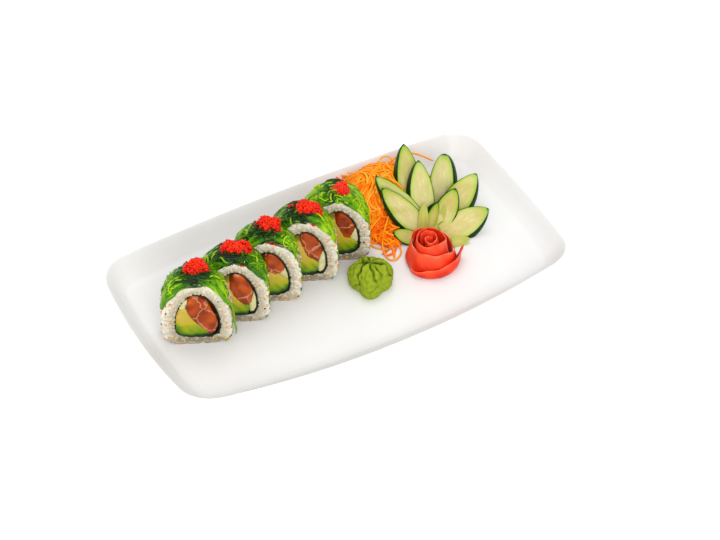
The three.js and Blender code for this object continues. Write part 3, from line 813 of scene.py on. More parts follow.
@dataclass
class Slice:
    """One slice of the roll with its topping.

    Attributes:
        number: Its place in the row, from one.
        at: Middle of its front foot on the plate.
        turn: Turn about z beyond the row's.
        ring_shift: How far the nori ring stands to the right.
        drape: Steps of the outline that the seaweed reaches down on the left and the right.
        heap: How high the seaweed is heaped.
        roe: The roe's x, y, width and height.
        light: How light the seaweed is on the left and right flanks, from 0 to 1.
        lime: Share of the seaweed's curls that are light.
        crown: How light the seaweed is round the roe.
        hanging: Long loose strands, as first and last step of the outline and y.
        sprig: Step and y of a thin strand that stands up, when there is one.
        tuft: Step and y of a tuft of light loops that stands up, when there is one.
        spilled: Steps and ys of small spills of roe.
    """

    number: int
    at: tuple[float, float]
    turn: float
    ring_shift: float
    drape: tuple[int, int]
    heap: float
    roe: tuple[float, float, float, float]
    light: tuple[float, float] = (0.75, 0.8)
    lime: float = 0.15
    crown: float = 0.1
    hanging: tuple[tuple[float, float, float], ...] = ()
    sprig: tuple[float, float] | None = None
    tuft: tuple[float, float] | None = None
    spilled: tuple[tuple[float, float], ...] = ()

    def name(self, piece: str) -> str:
        """The name of one of the slice's solids."""
        return f"slice_{self.number}_{piece}"

    def chance(self, purpose: int) -> np.random.Generator:
        """A seeded source of random numbers for one purpose."""
        return np.random.default_rng(100 * self.number + purpose)

    def placed(self, points: np.ndarray) -> np.ndarray:
        """Moves points from the slice's frame onto the plate; nothing sinks into the plate."""
        heading = ROW_FACING + self.turn
        x, y, z = np.moveaxis(points, -1, 0)
        y = y + HALF
        z = np.maximum(z, 0.04 - GAP)
        return np.stack([
            self.at[0] + x * np.cos(heading) - y * np.sin(heading),
            self.at[1] + x * np.sin(heading) + y * np.cos(heading),
            REST + z,
        ], -1)

    def put(self, shape: Shape) -> Shape:
        """The surface moved onto the plate."""
        return Shape(self.placed(shape.points), shape.faces, shape.own)

    def over(self, step: np.ndarray, y: np.ndarray, lift: np.ndarray) -> tuple[np.ndarray, np.ndarray]:
        """Points over the rice's outline and the ways out of it.

        Args:
            step: Places along the outline in steps of it, positive down the left side.
            y: Places through the slice.
            lift: Heights over the rice.

        Returns:
            The points and the outward directions.
        """
        fine = 12
        outline = ROLL.outline(STEPS * fine)
        along = np.roll(outline, -fine // 2, 0) - np.roll(outline, fine // 2, 0)
        outward = unit(np.stack([along[:, 1], -along[:, 0]], -1))
        flat = wrapped(outline, step * fine)
        out = unit(wrapped(outward, step * fine))
        flat = flat + out * np.asarray(lift)[..., None]
        return at_depth(flat, y), at_depth(out, 0.0)

    def rice_core(self) -> Shape:
        """The pressed rice under the grains: a band between the two arches."""
        count = 120
        outer, inner = ROLL.outline(count), RING.outline(count, self.ring_shift)
        section = np.array([
            (0.16, -HALF + 0.3), (0.1, -HALF + 1.4), (0.1, HALF - 1.4), (0.16, HALF - 0.3),
            (1.0, HALF - 0.35), (1.04, 0.0), (1.0, -HALF + 0.35),
        ])
        share, y = section.T
        rings = at_depth(outer[:, None] + (inner - outer)[:, None] * share[:, None], y)
        # The core is painted darker towards the nori: painted shade in the gaps between the grains.
        return skin(rings, tinted(0.8 - 0.45 * share, *rings.shape[:2]), looped=True)

    def skin_grains(self, bead: Shape) -> Shape:
        """Whole grains that lie on the outside of the slice, on an uneven lattice."""
        chance = self.chance(1)
        around, rows = 50, 6
        count = around * rows
        column, row = np.divmod(np.arange(count), rows)
        step = (column + chance.random(count)) * STEPS / around
        y = (row + spread(chance, 0.1, 0.9, count)) / rows * DEPTH - HALF
        y = np.clip(y, -HALF + 1.3, HALF - 1.3)
        centres, out = self.over(step, y, spread(chance, -1.2, -0.95, count))
        lean = spread(chance, 0, np.pi, count, 1)
        tilt = out * spread(chance, -0.1, 0.1, count, 1)
        along = unit(np.cos(lean) * np.cross(out, THROUGH) + np.sin(lean) * THROUGH + tilt)
        side = unit(np.cross(out, along))
        sizes = drawn(chance, count, (2.7, 3.5), (1.4, 1.75), (1.05, 1.25))
        # Grains near the foot are painted darker: painted shade where the slice stands on the plate.
        foot = np.clip((8 - centres[:, 2]) / 8, 0, 1)
        tint = spread(chance, 0.62, 0.95, count) - 0.5 * foot
        grains = copies(bead, centres, axes(along, side), sizes, tinted(tint, count))
        grains.points[:, 1] = np.clip(grains.points[:, 1], -HALF - 0.1, HALF + 0.1)
        return grains

    def face_grains(self, bead: Shape, front: bool) -> Shape:
        """Grains in a cut face, shorter and sliced flush with it.

        Those next to the nori are cut across, so that they show their ends, and are painted darker as shade
        along the nori.

        Args:
            bead: The grain to copy.
            front: Whether it is the face towards the viewer.

        Returns:
            The grains of that face.
        """
        chance = self.chance(2 if front else 3)
        face, inward = (-HALF, 1) if front else (HALF, -1)
        row_shares = np.array([0.14, 0.34, 0.58, 0.84])
        # Rows nearer the nori are painted darker: painted shade along the nori.
        row_tints = np.array([0.94, 0.82, 0.56, 0.42])
        around, rows = 46, len(row_shares)
        count = around * rows
        column, row = np.divmod(np.arange(count), rows)
        last = row == rows - 1
        place = (column + chance.random(count)) / around * FINE
        ring = RING.outline(FINE, self.ring_shift)
        outer, inner = wrapped(ROLL.outline(FINE), place), wrapped(ring, place)
        share = row_shares[row] + spread(chance, -0.06, 0.06, count)
        share = share + 0.08 * last * np.clip(1 - inner[:, 0] / 6, 0, 1)
        flat = outer + (inner - outer) * share[:, None]
        y = face + inward * spread(chance, 0.5, 0.75, count)
        ahead = wrapped(ring, place + 2) - wrapped(ring, place - 2)
        free = np.where((row == 0) | last, 0.35, 1.4)
        lean = np.arctan2(ahead[:, 1], ahead[:, 0]) + free * spread(chance, -1, 1, count)
        ends = last | ((row == rows - 2) & (chance.random(count) < 0.6))
        pitch = np.where(ends, 2.2, spread(chance, -0.3, 0.3, count))
        along = unit(np.stack([np.cos(lean), pitch, np.sin(lean)], -1))
        side = unit(np.cross(along, THROUGH))
        sizes = drawn(chance, count, (2.2, 3.1), (1.2, 1.45), (1.0, 1.25))
        y = np.where(ends, face + inward * (sizes[:, 0] * 0.85 - 0.55), y)
        # Grains near the foot are painted darker still: painted shade where the slice stands on the plate.
        foot = np.clip((6 - flat[:, 1]) / 4, 0, 1)
        tint = row_tints[row] + spread(chance, -0.12, 0.08, count) - 0.8 * foot
        grains = copies(bead, at_depth(flat, y), axes(along, side), sizes, tinted(tint, count))
        beyond = grains.points[:, 1] - face
        pressed = face + 0.1 * ripple(grains.points, 5.0, 7) + 0.36 * beyond
        grains.points[:, 1] = np.where(beyond * inward < 0, pressed, grains.points[:, 1])
        return grains

    def rice(self, bead: Shape) -> Shape:
        """The ring of rice: its core, and the grains outside and in both cut faces."""
        return joined(self.rice_core(), self.skin_grains(bead), self.face_grains(bead, True),
                      self.face_grains(bead, False))

    def specks(self, bead: Shape) -> Shape:
        """Orange roe and dark flecks stuck to the rice, most of them along its edges and foot."""
        chance = self.chance(4)
        outside, faced = 64, 18
        step = spread(chance, 5, 27, outside)
        y = HALF * signed_power(spread(chance, -1, 1, outside), 0.55)
        centres, _ = self.over(step, y, spread(chance, -0.1, 0.25, outside))
        place = spread(chance, 30, 210, faced)
        outer = wrapped(ROLL.outline(FINE), place)
        inner = wrapped(RING.outline(FINE, self.ring_shift), place)
        flat = outer + (inner - outer) * (0.03 + 0.75 * chance.random((faced, 1)) ** 1.6)
        centres = np.vstack([centres, at_depth(flat, -HALF - 0.1)])
        count = len(centres)
        radii = spread(chance, 0.45, 0.85, count)
        dark = chance.random(count) < 0.16
        tint = np.where(dark, 1.0, spread(chance, 0.0, 0.5, count))
        return beads(bead, centres, np.where(dark, 0.85 * radii, radii), tint)

    def nori(self) -> Shape:
        """The nori sheet: thin, crumpled and pressed into the grains round it."""
        count = 200
        outer = RING.outline(count, self.ring_shift, GAP)
        inner = RING.outline(count, self.ring_shift, GAP + NORI_THICKNESS + 0.1)
        place = full_turn(count)
        circle = np.stack([np.cos(place), np.sin(place)], -1) * count / (2 * np.pi)
        thick = np.clip(0.45 + 0.05 * outer[:, 0] - 0.02 * (outer[:, 1] - 20), 0.0, 1.2)
        swell = 0.7 * thick * np.clip(0.3 + ripple(circle, 9.0, 40 + self.number), 0, 1.4)
        wavy = outer + unit(outer - inner) * swell[:, None]
        depths = np.linspace(-HALF + 0.25, HALF - 0.25, 8)
        rings = np.concatenate([at_depth(wavy[:, None], depths), at_depth(inner[:, None], depths[::-1])], 1)
        rings[..., 1] += 0.2 * ripple(rings, 4.0, 50 + self.number)
        rings[..., 1] *= 1 - 0.06 * np.clip((4 - rings[..., 0]) / 8, 0, 1)
        return skin(rings, tinted(0.3 + 0.3 * ripple(rings, 5.0, 60), *rings.shape[:2]), looped=True)

    def drop(self, step: np.ndarray) -> np.ndarray:
        """How far a step lies from the top of the arch (0) towards the end of the drape (1)."""
        return np.abs(step) / max(self.drape)

    def salad_height(self, step: np.ndarray) -> np.ndarray:
        """Height of the seaweed over the rice."""
        return 1.3 + 3.3 * self.heap * np.maximum(0, 1 - 1.8 * self.drop(step) ** 2)

    def thinning(self, step: np.ndarray, y: np.ndarray) -> np.ndarray:
        """Share that is left of the seaweed's height: it thins out towards the back, most on the flanks."""
        back = np.clip((y + 2.0) / (HALF + 1), 0, 1)
        flank = np.clip((np.abs(step) - 0.4) / 1.1, 0, 1)
        return 1 - 0.8 * back * np.maximum(flank, 0.45)

    def shade(self, step: np.ndarray, y: np.ndarray, jitter: np.ndarray) -> np.ndarray:
        """The seaweed's tint: dark round the roe, lighter down the flanks and along the front edge.

        Args:
            step: Places along the outline in steps of it.
            y: Places through the slice.
            jitter: What is added for each strand.

        Returns:
            Three values at each point, the tint first.
        """
        flank = np.where(step > 0, self.light[0], self.light[1])
        far = np.clip((self.drop(step) - 0.1) / 0.36, 0, 1)
        edge = np.clip((-HALF + 2.5 - y) / 2.5, 0, 1) * np.clip(self.drop(step) * 3, 0, 1)
        return tinted(self.crown + (flank - self.crown) * np.maximum(far, 0.8 * edge) + jitter, *step.shape)

    def salad_core(self) -> Shape:
        """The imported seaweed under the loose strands: a low saddle over the arch."""
        left, right = self.drape
        step = np.linspace(-right + 0.4, left - 0.4, 40)[:, None]
        across, up = np.array([
            (-0.9, 0.1), (-0.92, 0.4), (-0.6, 0.62), (0.0, 0.66), (0.6, 0.62), (0.92, 0.4), (0.9, 0.1),
        ]).T
        y = across * (HALF * (1 - 0.25 * np.maximum(0, self.drop(step) - 0.6)))
        lift = up * self.salad_height(step) * self.thinning(step, y)
        points, out = self.over(np.broadcast_to(step, y.shape), y, lift)
        points = points + out * 0.35 * ripple(points, 3.2, 70 + self.number)[..., None]
        return skin(points, tinted(0.12 + 0.3 * self.drop(step), *points.shape[:2]))

    def ribbons(self) -> Shape:
        """Flat wet strands that run down both flanks, light green towards their ends."""
        chance = self.chance(5)
        count = 128
        left, right = self.drape
        share = np.linspace(0, 1, 14)[None]
        leftward = chance.random(count) < 0.52
        reach = np.where(leftward, left, -right) * spread(chance, 0.62, 1.1, count)
        begin = spread(chance, -1.6, 1.6, count, 1)
        step = begin + (reach[:, None] - begin) * share
        y = spread(chance, -HALF - 0.7, HALF + 0.3, count, 1) + spread(chance, -3, 3, count, 1) * share
        y = y + 0.9 * np.sin(share * spread(chance, 3, 9, count, 1) + spread(chance, 0, 6, count, 1))
        y = np.clip(y, -HALF - 1.3, HALF + 0.9)
        layer = spread(chance, 0.45, 1.0, count, 1)
        high = self.salad_height(step) * layer * self.thinning(step, y)
        over_edge = np.maximum(0, -HALF + 0.6 - y)
        lift = GAP + np.maximum(0.25, high - 1.4 * over_edge) + 0.35 * np.sin(step * 2.3 + begin * 9)
        paths, out = self.over(step, y, np.maximum(lift, 0.25))
        roll = spread(chance, -0.9, 0.9, count, 1, 3) * np.array([0.4, 0.7, 0.4])
        own = self.shade(step, y, spread(chance, -0.24, 0.22, count, 1))
        forward = np.clip(-HALF + 2 - y, 0, 2)[..., None] * np.array([0.0, -1.2, 0.0])
        width = spread(chance, 1.3, 3.7, count)
        return strands(paths, out + forward + roll, width, spread(chance, 0.5, 0.9, count), own, sides=6)

    def curls(self) -> Shape:
        """Thin curled strands heaped round the roe: helices over the top of the arch."""
        chance = self.chance(6)
        count = 150
        left, right = self.drape
        middle = spread(chance, -0.55 * right, 0.55 * left, count, 1)
        y = spread(chance, -HALF + 0.4, HALF - 0.4, count, 1)
        heading = spread(chance, 0, 2 * np.pi, count, 1)
        share = np.linspace(-0.5, 0.5, 18)[None]
        ahead = spread(chance, 5, 12, count, 1) * share
        coil = spread(chance, 4, 11, count, 1) * share + spread(chance, 0, 6, count, 1)
        radius = spread(chance, 0.8, 2.1, count, 1)
        aside = radius * np.sin(coil)
        step = middle + (ahead * np.cos(heading) - aside * np.sin(heading)) / 4.8
        across = y + ahead * np.sin(heading) + aside * np.cos(heading)
        across = np.clip(across, -HALF - 0.9, HALF + 0.6)
        high = self.salad_height(step) * spread(chance, 0.55, 1.12, count, 1)
        high = high * self.thinning(step, across)
        over_edge = np.maximum(0, -HALF + 0.6 - across)
        lift = GAP + np.maximum(0.3, high + 0.6 * radius * np.cos(coil) - 1.6 * over_edge)
        paths, out = self.over(step, across, lift)
        jitter = np.where(chance.random((count, 1)) < self.lime, 0.5, spread(chance, -0.12, 0.12, count, 1))
        width = spread(chance, 0.9, 1.7, count)
        return strands(paths, out, width, spread(chance, 0.6, 1.0, count), self.shade(step, across, jitter))

    def flank_loops(self, chance: np.random.Generator) -> Shape:
        """Light loops that stand off the flanks: arcs from one place over the rice to another."""
        count = 26
        left, right = self.drape
        share = np.linspace(0, 1, 16)[None]
        leftward = chance.random((count, 1)) < 0.6
        begin = np.where(leftward, left, -right) * spread(chance, 0.3, 0.8, count, 1)
        step = begin + spread(chance, -1.6, 1.6, count, 1) * share
        y = spread(chance, -HALF, HALF - 1, count, 1) + spread(chance, -4, 4, count, 1) * share
        y = np.clip(y, -HALF - 0.8, HALF + 0.6)
        stand = spread(chance, 1.0, 3.4, count, 1) * np.sin(np.pi * share)
        lift = (0.75 * self.salad_height(step) + stand) * self.thinning(step, y)
        paths, out = self.over(step, y, lift)
        size = spread(chance, 0.7, 1.2, count)
        return strands(paths, out, size, 0.8 * size, self.shade(step, y, spread(chance, 0.0, 0.25, count, 1)))

    def standing_tuft(self, chance: np.random.Generator) -> Shape:
        """A tuft of light coiled strands that stands up from the salad."""
        count = 34
        place, depth = self.tuft
        share = np.linspace(0, 1, 16)[None]
        turn = spread(chance, 0, 2 * np.pi, count, 1) + spread(chance, 2.5, 5.0, count, 1) * share
        wide = spread(chance, 1.2, 3.4, count, 1)
        step = place + spread(chance, -0.7, 0.7, count, 1) + wide * np.cos(turn) / 5.5
        y = depth + spread(chance, -3.5, 3.5, count, 1) + 0.8 * wide * np.sin(turn)
        rise = spread(chance, 0.8, 3.4, count, 1) + 0.8 * wide * np.sin(turn * 0.8)
        lift = (0.8 * self.salad_height(step) + np.maximum(0, rise)) * self.thinning(step, y)
        paths, out = self.over(step, np.clip(y, -HALF - 0.8, HALF + 0.6), lift)
        own = tinted(spread(chance, 0.72, 1.0, count), count)
        size = spread(chance, 0.8, 1.4, count)
        return strands(paths, out, size, 0.8 * size, own)

    def scraps(self) -> Shape:
        """Bits of seaweed on the rice, along the right flank's front edge."""
        chance = self.chance(7)
        count = 22
        share = np.linspace(0, 1, 9)[None]
        begin = spread(chance, -12.5, -5.5, count, 1)
        step = begin + spread(chance, -0.7, 0.7, count, 1) * share
        y = spread(chance, -HALF - 0.3, -HALF + 4, count, 1) + spread(chance, -2, 2, count, 1) * share
        y = np.clip(y, -HALF - 0.3, HALF)
        paths, out = self.over(step, y, 0.3 + 0.3 * np.sin(share * 6 + begin))
        own = tinted(spread(chance, 0.45, 0.95, count), count)
        return strands(paths, out, spread(chance, 0.9, 2.0, count), spread(chance, 0.4, 0.6, count), own)

    def standing_sprig(self) -> Shape:
        """One thin strand that stands up from the salad and leans to the right."""
        step, y = self.sprig
        rise = np.linspace(0, 1, 14)[None]
        paths, out = self.over(step - 0.7 * rise**2, y + 0 * rise, 2.5 + 11.5 * rise)
        return strands(paths, out - 3.0 * THROUGH, np.array([1.4]), np.array([0.9]), tinted(0.62, 1))

    def hanging_strands(self) -> Shape:
        """Long loose strands that hang down from the salad."""
        first, last, y = np.array(self.hanging).T[:, :, None]
        share = np.linspace(0, 1, 20)[None]
        step = first + (last - first) * share
        lift = 0.9 + 1.6 * share + 0.4 * np.sin(share * 11 + y)
        paths, out = self.over(step, y + 0.8 * np.sin(share * 8), lift)
        width = np.full(len(first), 3.2)
        return strands(paths, out, width, width * 0.4, tinted(0.72, len(first)), sides=6)

    def salad(self) -> Shape:
        """All the seaweed: a packed core, the strands on it, and what stands up or hangs down."""
        chance = self.chance(9)
        parts = [self.salad_core(), self.ribbons(), self.curls(), self.flank_loops(chance)]
        if self.tuft:
            parts.append(self.standing_tuft(chance))
        parts.append(self.scraps())
        if self.sprig:
            parts.append(self.standing_sprig())
        if self.hanging:
            parts.append(self.hanging_strands())
        return joined(*parts)

    def roe_heap(self, bead: Shape) -> Shape:
        """The roe: eggs on an uneven mound, over a core of the same form, and the spilled ones.

        Args:
            bead: The egg to copy.

        Returns:
            The mound and the spills.
        """
        chance = self.chance(8)
        x, y, width, height = self.roe
        middle = np.array([x, y, ROLL.top + GAP + 0.65 * self.salad_height(0.0) - 0.6])
        reach = np.array([width / 2 - 0.5, 5.6, height])
        lumps = 80 + self.number
        dome = directions(np.linspace(0.1, 1.75, 10)[:, None], full_turn(28)[None])
        swell = 0.85 + 0.17 * ripple(dome, 1.2, lumps)
        core = skin(dome * reach * swell[..., None] + middle)
        count = 400
        rank = (np.arange(count) + 0.5) / count
        golden = np.pi * (3 - np.sqrt(5))
        turn = np.arange(count) * golden + spread(chance, -0.2, 0.2, count)
        ways = directions(np.arccos(1 - 1.12 * rank), turn)
        uneven = 0.93 + 0.17 * ripple(ways, 1.2, lumps) + spread(chance, -0.1, 0.12, count)
        radii = spread(chance, 0.6, 0.9, count)
        # Eggs that face up are painted lighter and those low on the mound darker: painted light from above
        # and painted shade beneath.
        tint = np.clip(0.25 + 0.5 * ways[:, 2] + spread(chance, -0.25, 0.3, count), 0, 1)
        heap = joined(core, beads(bead, ways * reach * uneven[:, None] + middle, radii, tint))
        return joined(heap, self.spills(bead, chance)) if self.spilled else heap

    def spills(self, bead: Shape, chance: np.random.Generator) -> Shape:
        """Small spills of roe, on the seaweed and along the rice's front edge."""
        spots = np.repeat(np.array(self.spilled), 16, 0)
        count = len(spots)
        step = spots[:, 0] + 0.3 * chance.normal(size=count)
        y = np.clip(spots[:, 1] + 0.4 * chance.normal(size=count), -HALF - 0.6, HALF)
        lift = np.where(y > -HALF + 1, self.salad_height(step), 0.2) + spread(chance, -0.5, 0.4, count)
        centres, _ = self.over(step, y, lift)
        return beads(bead, centres, spread(chance, 0.45, 0.7, count), 0.35)

    def filling(self, piece: str, proud: float) -> bpy.types.Mesh:
        """One filling: its solid with rounded edges, grown to the nori, with slightly swollen cut faces.

        Args:
            piece: The filling's name.
            proud: How far its faces swell.

        Returns:
            The mesh, whose first own value is a tint.
        """
        mesh = softened(self.name(piece))
        points, normals = at_corners(mesh, "co") / MM, at_corners(mesh, "normal")
        heading = ROW_FACING + self.turn
        away = np.array([-np.sin(heading), np.cos(heading), 0.0])
        right = np.array([np.cos(heading), np.sin(heading), 0.0])
        offset = points - np.array([*self.at, REST])
        x, y, z = offset @ right, offset @ away, offset[:, 2]
        ring = RING.outline(FINE, self.ring_shift, GAP + NORI_THICKNESS)
        gap = np.sqrt(((np.stack([x, z], -1)[:, None] - ring[None]) ** 2).sum(-1)).min(1)
        grown = 0.45 + 0.5 * np.clip((5 - x) / 8, 0, 1)
        points = points + normals * grown[:, None]
        swell = proud * np.clip(gap / 4, 0, 1) ** 0.5 + 0.18 * ripple(points, 6.0, 90 + self.number)
        points = points - np.where(y < 2, swell, 0)[:, None] * away
        points = points + np.where(y > DEPTH - 2, swell, 0)[:, None] * away
        mesh.vertices.foreach_set("co", (points * MM).astype(np.float32).ravel())
        if piece == "avocado":
            tint = self.avocado_tint(x, y, z, gap)
        else:
            tint = 0.5 + 0.25 * ripple(points, 9.0, 95 + self.number)
        write_own(mesh, tinted(tint, len(points)))
        mesh.update()
        return mesh

    @staticmethod
    def avocado_tint(x: np.ndarray, y: np.ndarray, z: np.ndarray, gap: np.ndarray) -> np.ndarray:
        """The avocado's tint: yellow above, dark green below and along its skin, with slanting streaks.

        Args:
            x: Places to the right.
            y: Places through the slice.
            z: Heights.
            gap: Distances from the nori.

        Returns:
            One tint for each place.
        """
        low = np.clip((24.0 - z) / 18.0, 0, 1)
        rim = np.clip(1.2 - gap / 3.2, 0, 1) * np.clip((21.0 - z) / 10.0, 0, 1)
        streak = ripple(np.stack([x + z, 0.12 * (x - z), 0.2 * y], -1), 3.2, 97)
        return 0.02 + 0.7 * low + 0.4 * rim + (0.03 + 0.07 * (1 - low)) * streak

    def build(self, larder: Larder, grain: Shape, egg: Shape) -> None:
        """Makes the slice's pieces.

        Args:
            larder: The finishes.
            grain: The rice grain to copy.
            egg: The egg of roe to copy.
        """
        add_piece(self.put(self.rice(grain)), self.name("rice_grains"), larder.rice, "rice",
                  self.name("rice"))
        add_piece(self.put(self.specks(egg)), self.name("specks"), larder.specks, "roe")
        add_piece(self.put(self.nori()), self.name("nori_sheet"), larder.nori, "nori", self.name("nori"))
        fillings = (("salmon", larder.salmon, 0.6), ("avocado", larder.avocado, 0.2),
                    ("cucumber_stick", larder.stick, 0.2))
        for piece, finish, proud in fillings:
            add_piece(self.filling(piece, proud), self.name(f"{piece}_cut"), finish, piece, self.name(piece))
        add_piece(self.put(self.salad()), self.name("seaweed_salad"), larder.seaweed, "seaweed",
                  self.name("seaweed"))
        add_piece(self.put(self.roe_heap(egg)), self.name("roe_heap"), larder.roe, "roe", self.name("roe"))


def row_of_slices() -> list[Slice]:
    """The five slices, from the left end of the row to the right."""
    return [
        Slice(1, at=(-104.1, -8.7), turn=0.06, ring_shift=0.4, drape=(6, 5), heap=1.6,
              roe=(1.2, 0.6, 15.5, 8.5), light=(0.72, 0.85), hanging=((-4, -11.0, -8.6),)),
        Slice(2, at=(-75.1, -3.4), turn=0.05, ring_shift=0.6, drape=(5, 6), heap=1.2,
              roe=(1.8, 1.2, 19.5, 7.0), light=(0.6, 0.6), tuft=(3.4, 1.0), spilled=((-1.2, -8.6),)),
        Slice(3, at=(-49.0, 2.9), turn=0.04, ring_shift=0.8, drape=(6, 5), heap=1.6,
              roe=(1.8, 1.6, 16.5, 7.5), light=(0.85, 0.82), tuft=(2.7, 2.0), spilled=((-0.9, -8.6),)),
        Slice(4, at=(-20.2, 7.4), turn=0.05, ring_shift=1.0, drape=(6, 5), heap=1.1,
              roe=(3.4, 0.6, 17.5, 6.0), light=(0.55, 0.85), sprig=(-0.5, 6.6),
              spilled=((-1.5, -8.6), (1.1, 5.0))),
        Slice(5, at=(6.7, 14.2), turn=0.04, ring_shift=1.4, drape=(5, 6), heap=0.75,
              roe=(3.2, 0.4, 12.5, 4.6), light=(1.0, 0.85), lime=0.45, crown=0.32),
    ]


def at_corners(mesh: bpy.types.Mesh, what: str) -> np.ndarray:
    """Reads a vector, such as the place or the normal, at each corner of a mesh."""
    values = np.zeros(len(mesh.vertices) * 3, np.float32)
    mesh.vertices.foreach_get(what, values)
    return values.reshape(-1, 3)


def softened(node: str, voxel: float = 0.8, rounds: int = 3) -> bpy.types.Mesh:
    """A copy of a solid with its edges rounded: remeshed finely, then smoothed.

    Args:
        node: The solid's name.
        voxel: Size of the new faces.
        rounds: Passes of smoothing.

    Returns:
        The new mesh.
    """
    source = bpy.data.objects[node].data.copy()
    welded = bmesh.new()
    welded.from_mesh(source)
    bmesh.ops.remove_doubles(welded, verts=welded.verts, dist=1e-6)
    welded.to_mesh(source)
    welded.free()
    holder = bpy.data.objects.new("holder", source)
    bpy.context.scene.collection.objects.link(holder)
    remesh = holder.modifiers.new("fine", "REMESH")
    remesh.mode = "VOXEL"
    remesh.voxel_size = voxel * MM
    smooth = holder.modifiers.new("round", "SMOOTH")
    smooth.factor = 0.5
    smooth.iterations = rounds
    graph = bpy.context.evaluated_depsgraph_get()
    result = bpy.data.meshes.new_from_object(holder.evaluated_get(graph))
    bpy.data.objects.remove(holder)
    for name in [a.name for a in result.attributes if a.name.startswith("sharp")]:
        result.attributes.remove(result.attributes[name])
    result.polygons.foreach_set("use_smooth", np.ones(len(result.polygons), bool))
    return result


# Cucumber flower
class Lean(Enum):
    """Which way a petal's back stands out, so that its skin shows there."""

    LEFT = -1
    NONE = 0
    RIGHT = 1


@dataclass
class Petal:
    """One leaf-shaped slice of cucumber, from its foot to its tip.

    Attributes:
        name: The solid that it stands for.
        foot: Middle of its foot.
        tip: Its tip.
        width: Its width.
        lean: The side on which its skin shows.
        facing: The way its cut face looks.
        thickness: Its thickness.
        bend: How far its middle hangs back.
        foot_share: Where the foot is cut across, as a share of the whole leaf.
        fullness: Low for a blunt leaf.
        peeled: Whether it has no skin.
    """

    name: str
    foot: tuple[float, float, float]
    tip: tuple[float, float, float]
    width: float
    lean: Lean = Lean.NONE
    facing: tuple[float, float, float] = (-0.35, -0.62, 0.7)
    thickness: float = 4.2
    bend: float = 2.0
    foot_share: float = 0.2
    fullness: float = 0.66
    peeled: bool = False

    def frame(self) -> tuple[np.ndarray, np.ndarray, np.ndarray, float]:
        """The petal's axis, its face's normal, the way across it and its length."""
        axis = np.array(self.tip) - np.array(self.foot)
        length = float(np.linalg.norm(axis))
        axis = axis / length
        facing = np.array(self.facing)
        normal = unit(facing - axis * (facing @ axis))
        return axis, normal, np.cross(axis, normal), length

    def reach(self, share: np.ndarray) -> np.ndarray:
        """Half width as a share of the widest, from foot (0) to tip (1)."""
        return np.sin(np.pi * (self.foot_share + (0.995 - self.foot_share) * share)) ** self.fullness

    def holds(self, points: np.ndarray, room: float) -> np.ndarray:
        """Whether points lie in the petal or closer to it than the given room."""
        axis, normal, side, length = self.frame()
        offset = points - np.array(self.foot)
        share = np.clip((offset @ axis) / length, 0, 1)
        depth = np.abs(offset @ normal + self.bend * np.sin(np.pi * share))
        half = self.width / 2 * self.reach(share)
        near = np.abs((offset @ axis) / length - 0.5) < 0.5 + room / length
        return near & (depth < self.thickness / 2 + room) & (np.abs(offset @ side) < half + room)

    def shape(self) -> Shape:
        """The petal: a rounded slab section carried from foot to tip, widest in its middle.

        The section is a superellipse. Its back is shifted to the leaning side, where the skin shows.

        Returns:
            The surface, with the distance from its edge and the places across and along it.
        """
        axis, normal, side, length = self.frame()
        rows, around = 46, 56
        share = (1 - np.cos(np.pi * np.linspace(0, 1, rows))) / 2
        share = (0.5 * share + 0.5 * np.linspace(0, 1, rows))[:, None]
        turn = full_turn(around)[None]
        reach = self.reach(share)
        half = np.maximum(0.35, self.width / 2 * reach)
        thick = self.thickness / 2 * (0.5 + 0.5 * reach)
        across = signed_power(np.cos(turn), 0.42) * half
        outward = signed_power(np.sin(turn), 0.5) * thick
        dished = -0.35 * np.clip(outward / thick, 0, 1) * (1 - (across / half) ** 2)
        middle = np.array(self.foot) + axis * (length * share)[..., None]
        back = np.clip(0.5 - outward / (2 * thick), 0, 1)
        shift = self.lean.value * 3.2 * back * reach
        bow = outward + dished - self.bend * np.sin(np.pi * share)
        points = middle + side * (across + shift)[..., None] + normal * bow[..., None]
        points = points + normal * (0.25 * ripple(points, 14.0, int(self.width * 10)))[..., None]
        points[..., 2] = np.maximum(points[..., 2], FLOOR_TOP + 0.05)
        tip_gap = (1 - share) * length * 0.6
        edge = np.minimum(half - np.abs(across), tip_gap)
        edge = np.where(np.abs(outward) > 0.8 * thick, edge, 0.15)
        edge = np.where((share < 0.0125) | self.peeled, np.maximum(edge, 2.2), edge)
        own = np.stack(np.broadcast_arrays(edge, across, length * share + self.width), -1) / 10
        ends = np.array([points[0].mean(0) - axis * 0.2, points[-1].mean(0) + axis * 0.4])
        return skin(points, own, hubs=ends)

    def build(self, larder: Larder) -> None:
        """Makes the petal's piece."""
        add_piece(self.shape(), f"{self.name}_petal", larder.cucumber, "cucumber", self.name)


